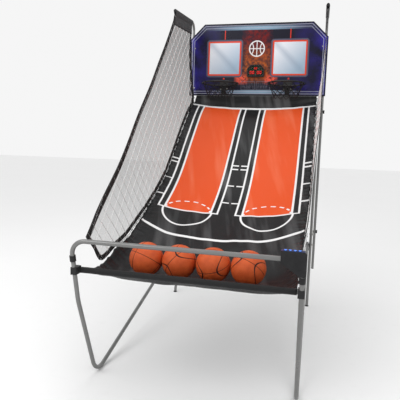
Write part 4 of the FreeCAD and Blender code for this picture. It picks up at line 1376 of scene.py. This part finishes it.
# %% Film of a net
def make_film(side, label):
    """Patch between the two lines."""
    shares = [k / film_steps for k in range(film_steps + 1)]
    rows = []
    for low, high in zip(lower_line[::2], upper_line[::2]):
        row = [on_net(side, *low.lerp(high, share).yz) for share in shares]
        rows.append(row if side < 0 else row[::-1])
    film = sheet_mesh("side_net_" + label, rows, shares,
                      [i / (len(rows) - 1) for i in range(len(rows))],
                      finishes["net_fabric"])
    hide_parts(label + "_side_net")
    return follow_fold(film)


# %% Cord of a net
cord_count = 44
cord_step = 0.02
cord_stray = 0.007
cord_starts = ((1, 0.75), (-1, -0.90))


def cord_crossings(way, level):
    """Where the line back + way * z = level crosses the outline."""
    found = []
    for (y1, z1), (y2, z2) in zip(outline, outline[1:] + outline[:1]):
        first = y1 + way * z1 - level
        second = y2 + way * z2 - level
        if first * second < 0:
            share = first / (first - second)
            found.append((y1 + (y2 - y1) * share, z1 + (z2 - z1) * share))
    return sorted(found)


def cord_lines(side):
    """Straight cords at 45 degrees both ways, cut at the outline."""
    lines = []
    for way, first in cord_starts:
        for k in range(cord_count):
            ends = cord_crossings(way, first + k * diamond)
            for start, end in zip(ends[::2], ends[1::2]):
                a = Vector((0.0, *start))
                b = Vector((0.0, *end))
                count = max(2, round((b - a).length / cord_step) + 1)
                line = []
                for n in range(count):
                    place = a.lerp(b, n / (count - 1))
                    held = ease(n, 0, 2) * ease(count - 1 - n, 0, 2)
                    stray = cord_stray * held * ripple(place.y * 9.0, place.z * 9.0,
                                                       seed=k + way)
                    line.append(on_net(side, place.y + stray, place.z - way * stray))
                lines.append(line)
    return lines


# %% Webbing
webbing_thickness = 0.0034
fold_bulge = 0.0015


def ribbon(name, line, side, width, inward=1.0):
    """Flat webbing folded over an edge. It reaches inward from the line."""
    profile = [(-fold_bulge, -0.35), (-fold_bulge, 0.35), (0.0, 0.5), (0.5, 0.5), (1.0, 0.5),
               (1.0, -0.5), (0.5, -0.5), (0.0, -0.5)]
    rows = []
    for k, point in enumerate(line):
        before = line[max(k - 1, 0)]
        after = line[min(k + 1, len(line) - 1)]
        way = (after - before).normalized()
        turn = Vector((0.0, way.z, -way.y)) * inward
        row = []
        for reach, layer in profile:
            place = point + turn * (max(reach, 0.0) * width + min(reach, 0.0))
            row.append(on_net(side, place.y, place.z, layer * webbing_thickness))
        rows.append(row)
    reach = running(line)
    girth = [0.0, 0.002, 0.004, 0.004 + width / 2, 0.004 + width, 0.008 + width,
             0.008 + 1.5 * width, 0.008 + 2 * width, 0.010 + 2 * width]
    piece = sheet_mesh(name, rows, girth, reach, webbing_finish, closed=True, capped=True)
    return follow_fold(piece)


# %% Edges of a net that are bound with webbing
free_edge_end = 1.505
strap_end = 0.262
foot_start = 0.255
free_edge = [p for p in upper_line if p.y < free_edge_end]
rear_edge = even_points([Vector((0.0, *net_rear_top)), Vector((0.0, *net_rear_foot))], 31)
strap = [p for p in lower_line if p.y < strap_end]
foot = [p for p in lower_line if p.y >= foot_start]
print("bound edges", [round(line_length(line), 3) for line in (free_edge, rear_edge, strap, foot)])

# %% Make both nets
nets = {}
for side, label in both_sides:
    film = make_film(side, label)
    cords = made_along("net_cords_" + label, cord_lines(side), rope_thin, thread_finish,
                       thickness=0.0042)
    follow_fold(cords)
    trims = [cords,
             ribbon("free_edge_webbing_" + label, free_edge, side, 0.032),
             ribbon("rear_edge_webbing_" + label, rear_edge, side, 0.045),
             ribbon("front_strap_" + label, strap, side, 0.024, -1.0),
             ribbon("foot_webbing_" + label, foot, side, 0.024, -1.0)]
    nets[label] = film

# %% [markdown]
# ## Pockets over the net arms
# A pocket is one length of heavy black cloth folded over the arm and sewn to itself under
# it, with the net's top edge caught in the seam. It narrows a little at the tip of the arm.
# Its cross-section hardly changes along the arm, so one profile is carried from end to end,
# with a slight bow in its loose lower layers.

# %% Make the pockets
cap_low, cap_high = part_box("net_arm_caps")
arm_tip = Vector((cap_high.x - 0.010, cap_low.y, (cap_low.z + cap_high.z) / 2))
pocket_length = pocket_high.y - pocket_low.y
pocket_drop = 0.096
pocket_radius = 0.0122
pocket_half_gap = 0.0036
pocket_steps = 60
arm_rise = (pocket_high.z - 0.0118 - arm_tip.z) / pocket_length


def pocket_profile(squeeze):
    """Cross-section from the foot of one layer over the arm to the foot of the other."""
    points = [(-pocket_half_gap, -pocket_drop + pocket_drop * 0.7 * n / 7) for n in range(8)]
    points.append((-pocket_half_gap - 0.002, -0.026))
    points.append((-pocket_radius * 0.72, -0.014))
    points += [(-pocket_radius * math.cos(math.pi * n / 12), pocket_radius
                * math.sin(math.pi * n / 12)) for n in range(13)]
    points += [(-x, z) for x, z in reversed(points[:10])]
    return [(x * squeeze, z) for x, z in points]


pocket_runs = [pocket_length * i / pocket_steps for i in range(pocket_steps + 1)]
for side, label in both_sides:
    rows = []
    for run in pocket_runs:
        squeeze = 0.85 + 0.15 * ease(run, 0.0, 0.012)
        bow = 0.0012 * ripple(run * 16.0, side, seed=6.0)
        rows.append([Vector((side * arm_tip.x + x + bow * ease(-z, 0.02, 0.08),
                             pocket_low.y + run, arm_tip.z + arm_rise * run + z))
                     for x, z in pocket_profile(squeeze)])
    reach = running([Vector((x, 0.0, z)) for x, z in pocket_profile(1.0)])
    pocket = sheet_mesh("pocket_" + label, rows, reach, pocket_runs,
                        finishes["pocket_fabric"])
    give_thickness(pocket)
    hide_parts("net_pockets")
    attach(pocket, "rear_frame")

# %% [markdown]
# ## Lacing and stitches
# A black lace runs along each side of the ramp and goes round the hem and the foot of the
# net at every eyelet. The hems, webbing and pockets are sewn with rows of small stitches.
# There are thousands of them, so the trees place them, and each one has only a few faces.

# %% Lacing
def laced(name, line, pitch, radius):
    """Lace along a line with a loop at each eyelet."""
    loops = made_along(name + "_loops", [line], lace_loops, lace_finish, pitch=pitch,
                       loop_radius=radius, thickness=0.0022)
    run = made_along(name + "_cord", [line], rope_round, lace_finish, thickness=0.0030)
    for piece in (loops, run):
        follow_fold(piece)
    return [loops, run]


# %% Lace both sides of the ramp and of the panel
lace_first_row = 60
lace_last_row = ramp_rows - 18
rear_lace_in = 0.012
rear_lace_top = 1.93
rear_lace_foot = 1.50
rear_lace_pitch = 0.07
laces = []
for side, label in both_sides:
    seam = []
    for i in range(lace_first_row, lace_last_row):
        edge = ramp_points[i][0 if side < 0 else -1]
        foot_x = net_x(edge.y - front_y, edge.z)
        seam.append(Vector((side * (abs(edge.x) + foot_x) / 2, edge.y, edge.z + 0.002)))
    laces += laced("foot_lace_" + label, seam, lace_pitch, 0.010)
    back_seam = [on_net(side, p.y, p.z) for p in even_points(
        [Vector((0.0, net_rear_top[0] + rear_lace_in, rear_lace_top)),
         Vector((0.0, net_rear_foot[0] + rear_lace_in, rear_lace_foot))], 40)]
    laces += laced("rear_lace_" + label, back_seam, rear_lace_pitch, 0.009)
print("lace pieces", len(laces))


# %% Stitches
def sewn(name, lines, body=None):
    """Rows of stitches along lines that lie on a cloth."""
    piece = made_along(name, lines, stitches, stitch_finish, pitch=0.0062, length=0.0046,
                       thickness=0.0010)
    if body:
        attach(piece, body)
    else:
        follow_fold(piece)
    return piece


def beside(line, side, shift, out):
    """Line shifted within the net's plane and then out of it."""
    moved = []
    for k, point in enumerate(line):
        way = (line[min(k + 1, len(line) - 1)] - line[max(k - 1, 0)]).normalized()
        place = point + Vector((0.0, way.z, -way.y)) * shift
        moved.append(on_net(side, place.y, place.z, out))
    return moved


# %% Sew the nets, the ramp and the pockets
webbing_seams = (0.004, 0.028)
webbing_seam_out = 0.0018
for side, label in both_sides:
    rows = [beside(free_edge, side, shift, out) for shift in webbing_seams
            for out in (-webbing_seam_out, webbing_seam_out)]
    sewn("net_stitches_" + label, rows)
foot_hem_row = 9
top_hem_row = ramp_rows - 12
side_hem_column = 3
hemmed_rows = ramp_points[8:-8]
ramp_stitches = sewn("ramp_stitches", [
    ramp_points[foot_hem_row], ramp_points[top_hem_row],
    [row[side_hem_column] for row in hemmed_rows],
    [row[-1 - side_hem_column] for row in hemmed_rows]])
pocket_seams = (0.026, 0.088)
pocket_seam_out = 0.0038
seam_start = 0.004
seam_runs = [pocket_length * n / 40 * 0.97 for n in range(41)]
for side, label in both_sides:
    rows = []
    for drop in pocket_seams:
        for out in (-pocket_seam_out, pocket_seam_out):
            rows.append([Vector((side * arm_tip.x + out, pocket_low.y + seam_start + run,
                                 arm_tip.z + arm_rise * run - drop))
                         for run in seam_runs])
    sewn("pocket_stitches_" + label, rows, "rear_frame")

# %% [markdown]
# ## Hoop nets
# Each rim carries a short net of knotted black cord. Twelve loops hold it to the rim. The
# cords lean left and right in turn, and where they cross they make diamonds that narrow
# toward the open mouth. A see-through sleeve would be lighter, but its cords would be flat,
# so each cord is a rope through its knots. The knots are a little uneven, as soft cord hangs
# in bunches.

# %% One knot of a hoop net
net_ties = 12
net_levels = 4
mouth_radius = 0.088
knot_steps = 6
rope_finish = plain_finish("black_net_cord", (0.009, 0.009, 0.010), (0.030, 0.030, 0.031), 0.7,
                           0.82, grain_scale=2200.0, grain_depth=0.0004)


def hoop_net_point(middle, low, high, top_radius, turn, level):
    """Knot at a turn round the rim, counted in ties, and a level down from it."""
    share = level / net_levels
    angle = 2 * math.pi * (turn + 0.10 * ripple(turn * 1.7, share * 3.0, middle.x)) / net_ties
    radius = top_radius + (mouth_radius - top_radius) * share ** 0.7
    radius *= 1 - 0.07 * share * abs(ripple(turn * 2.3, share * 4.0, middle.x, seed=8.0))
    height = high - 0.003 - (high - low - 0.006) * share
    height += 0.004 * share * ripple(turn * 3.1, share, seed=11.0)
    return Vector((middle.x + radius * math.cos(angle), middle.y + radius * math.sin(angle),
                   height))


# %% Make the hoop nets
def make_hoop_net(label):
    """Cords and ties of the net under one rim."""
    low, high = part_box(label + "_hoop_net")
    middle = (low + high) / 2
    top_radius = (high.x - low.x) / 2 - 0.006
    shape = (middle, low.z, high.z, top_radius)
    lines = []
    for way in (-1, 1):
        for tie in range(net_ties):
            knots = [hoop_net_point(*shape, tie + way * 0.5 * level, level)
                     for level in range(net_levels + 1)]
            line = smooth_line(knots, net_levels * knot_steps + 1)
            lines.append([p + Vector((0, 0, -0.003 * math.sin(math.pi * (k % knot_steps)
                                                              / knot_steps)))
                          for k, p in enumerate(line)])
    cords = made_along(label + "_net_cords", lines, rope_round, rope_finish, thickness=0.0042)
    rim_low, rim_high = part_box(label + "_hoop")
    rim_radius = (rim_high.x - rim_low.x) / 2 - 0.0060
    circle = [Vector((middle.x + rim_radius * math.cos(2 * math.pi * n / 96),
                      middle.y + rim_radius * math.sin(2 * math.pi * n / 96), high.z + 0.004))
              for n in range(97)]
    ties = made_along(label + "_net_ties", [circle], rim_loops, rope_finish,
                      pitch=2 * math.pi * rim_radius / net_ties, loop_radius=0.0088,
                      thickness=0.0036)
    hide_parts(label + "_hoop_net")
    for piece in (cords, ties):
        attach(piece, "rear_frame")


for side, label in both_sides:
    make_hoop_net(label)
print("ties round each rim", net_ties)

# %% [markdown]
# ## Balls
# The balls are small moulded rubber basketballs. Grooves drawn only in the colour would
# leave a smooth outline, so they are also pressed into the shape, and the same formula
# colours them. The shape starts as a ball of even triangles, which has no poles, and has
# enough of them for a narrow groove. Each ball lies turned its own way.

# %% Grooves of a ball
groove_press = 0.0013
ball_divisions = 7


def groove_depth(place):
    """1 in a groove and 0 on the skin."""
    oval = (math.sqrt((place.x / oval_wide) ** 2 + (place.z / oval_tall) ** 2) - 1.0) * 0.66
    nearest = min(abs(place.x), abs(place.z), abs(oval))
    return 1 - ease(nearest, groove_half * 0.5, groove_half * 1.6)


# %% Make the balls
def make_ball(node, turn):
    """Ball in the place of its plain one, turned by three angles."""
    low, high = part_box(node)
    middle = (low + high) / 2
    radius = (high.x - low.x) / 2
    bpy.ops.mesh.primitive_ico_sphere_add(subdivisions=ball_divisions, radius=1.0)
    ball = bpy.context.object
    ball.name = node + "_rubber"
    facing = Matrix.Rotation(turn[0], 3, "X") @ Matrix.Rotation(turn[1], 3, "Y")
    facing = facing @ Matrix.Rotation(turn[2], 3, "Z")
    places = ball.data.attributes.new("place", "FLOAT_VECTOR", "POINT")
    for corner, place in zip(ball.data.vertices, places.data):
        own = facing @ corner.co.normalized()
        place.vector = own
        reach = radius - groove_press * groove_depth(own)
        corner.co = middle + corner.co.normalized() * reach
    ball.data.polygons.foreach_set("use_smooth", [True] * len(ball.data.polygons))
    ball.data.materials.append(finishes["ball_rubber"])
    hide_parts(node)
    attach(ball, node)
    return ball


ball_turns = [(0.5, 0.3, 1.1), (1.9, -0.6, 0.4), (-0.7, 1.2, 2.3), (2.6, 0.8, -1.0)]
balls = [make_ball("ball_%d" % (k + 1), turn) for k, turn in enumerate(ball_turns)]
print("balls", [ball.name for ball in balls])

# %% [markdown]
# ## Lit digits
# The score unit shows a time above two scores, behind a smoky window. A real digit has seven
# bars, and the ones that are off can't be told from the dark block behind them. So only the
# six bars of a zero are made, each a thin box that glows red.

# %% Glow of the bars
red_glow = bpy.data.materials.new("red_segments")
red_glow.use_nodes = True
glow_shader = red_glow.node_tree.nodes["Principled BSDF"]
glow_shader.inputs["Base Color"].default_value = (0.5, 0.01, 0.01, 1.0)
glow_shader.inputs["Emission Color"].default_value = (1.0, 0.03, 0.02, 1.0)
glow_shader.inputs["Emission Strength"].default_value = 3.0
print("glow", red_glow.name)

# %% One lit zero
zero_bars = ((0, 1), (0, -1), (-1, 0.5), (1, 0.5), (-1, -0.5), (1, -0.5))
bar_depth = 0.0006


def lit_digit(middle_x, middle_z, face_y, width, height):
    """Boxes of the bars that are on for a zero."""
    corners = []
    faces = []
    bar = width * 0.17
    for across, rise in zero_bars:
        x = middle_x + across * (width - bar) / 2
        z = middle_z + rise * (height - bar) / 2
        half_x = bar / 2 if across else width / 2 - bar * 0.75
        half_z = height / 4 - bar * 0.45 if across else bar / 2
        first = len(corners)
        corners += [(x - half_x, face_y, z - half_z), (x + half_x, face_y, z - half_z),
                    (x + half_x, face_y, z + half_z), (x - half_x, face_y, z + half_z)]
        corners += [(a, b + bar_depth, c) for a, b, c in corners[first:first + 4]]
        faces += [tuple(first + n for n in face) for face in
                  ((0, 1, 2, 3), (4, 7, 6, 5), (0, 4, 5, 1), (1, 5, 6, 2), (2, 6, 7, 3),
                   (3, 7, 4, 0))]
    return corners, faces


# %% Make the digits
digit_low, digit_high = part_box("score_digits")
digit_face = digit_low.y - 0.0008
score_z = digit_low.z + 0.015
timer_z = digit_high.z - 0.009
digit_corners = []
digit_faces = []
layout = [(x, score_z, 0.0125, 0.022) for x in (-0.038, -0.018, 0.018, 0.038)]
layout += [(x, timer_z, 0.0082, 0.0135) for x in (-0.0068, 0.0068)]
for x, z, width, height in layout:
    corners, faces = lit_digit(x, z, digit_face, width, height)
    first = len(digit_corners)
    digit_corners += corners
    digit_faces += [tuple(first + n for n in face) for face in faces]
digit_mesh = bpy.data.meshes.new("lit_digits")
digit_mesh.from_pydata(digit_corners, [], digit_faces)
digit_mesh.materials.append(red_glow)
lit_digits = bpy.data.objects.new("lit_digits", digit_mesh)
bpy.context.scene.collection.objects.link(lit_digits)
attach(lit_digits, "rear_frame")
print("lit digits", len(layout))

# %% [markdown]
# ## Cloth sizes
# The ramp's width and length are measured over its curves.


ramp_width = sum(line_length(row) for row in ramp_points) / len(ramp_points)
ramp_length = sum(line_length(column) for column in zip(*ramp_points)) / (ramp_columns + 1)
for label, film in nets.items():
    label + "_upright"

# %% Bounds of everything shown
low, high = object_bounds()
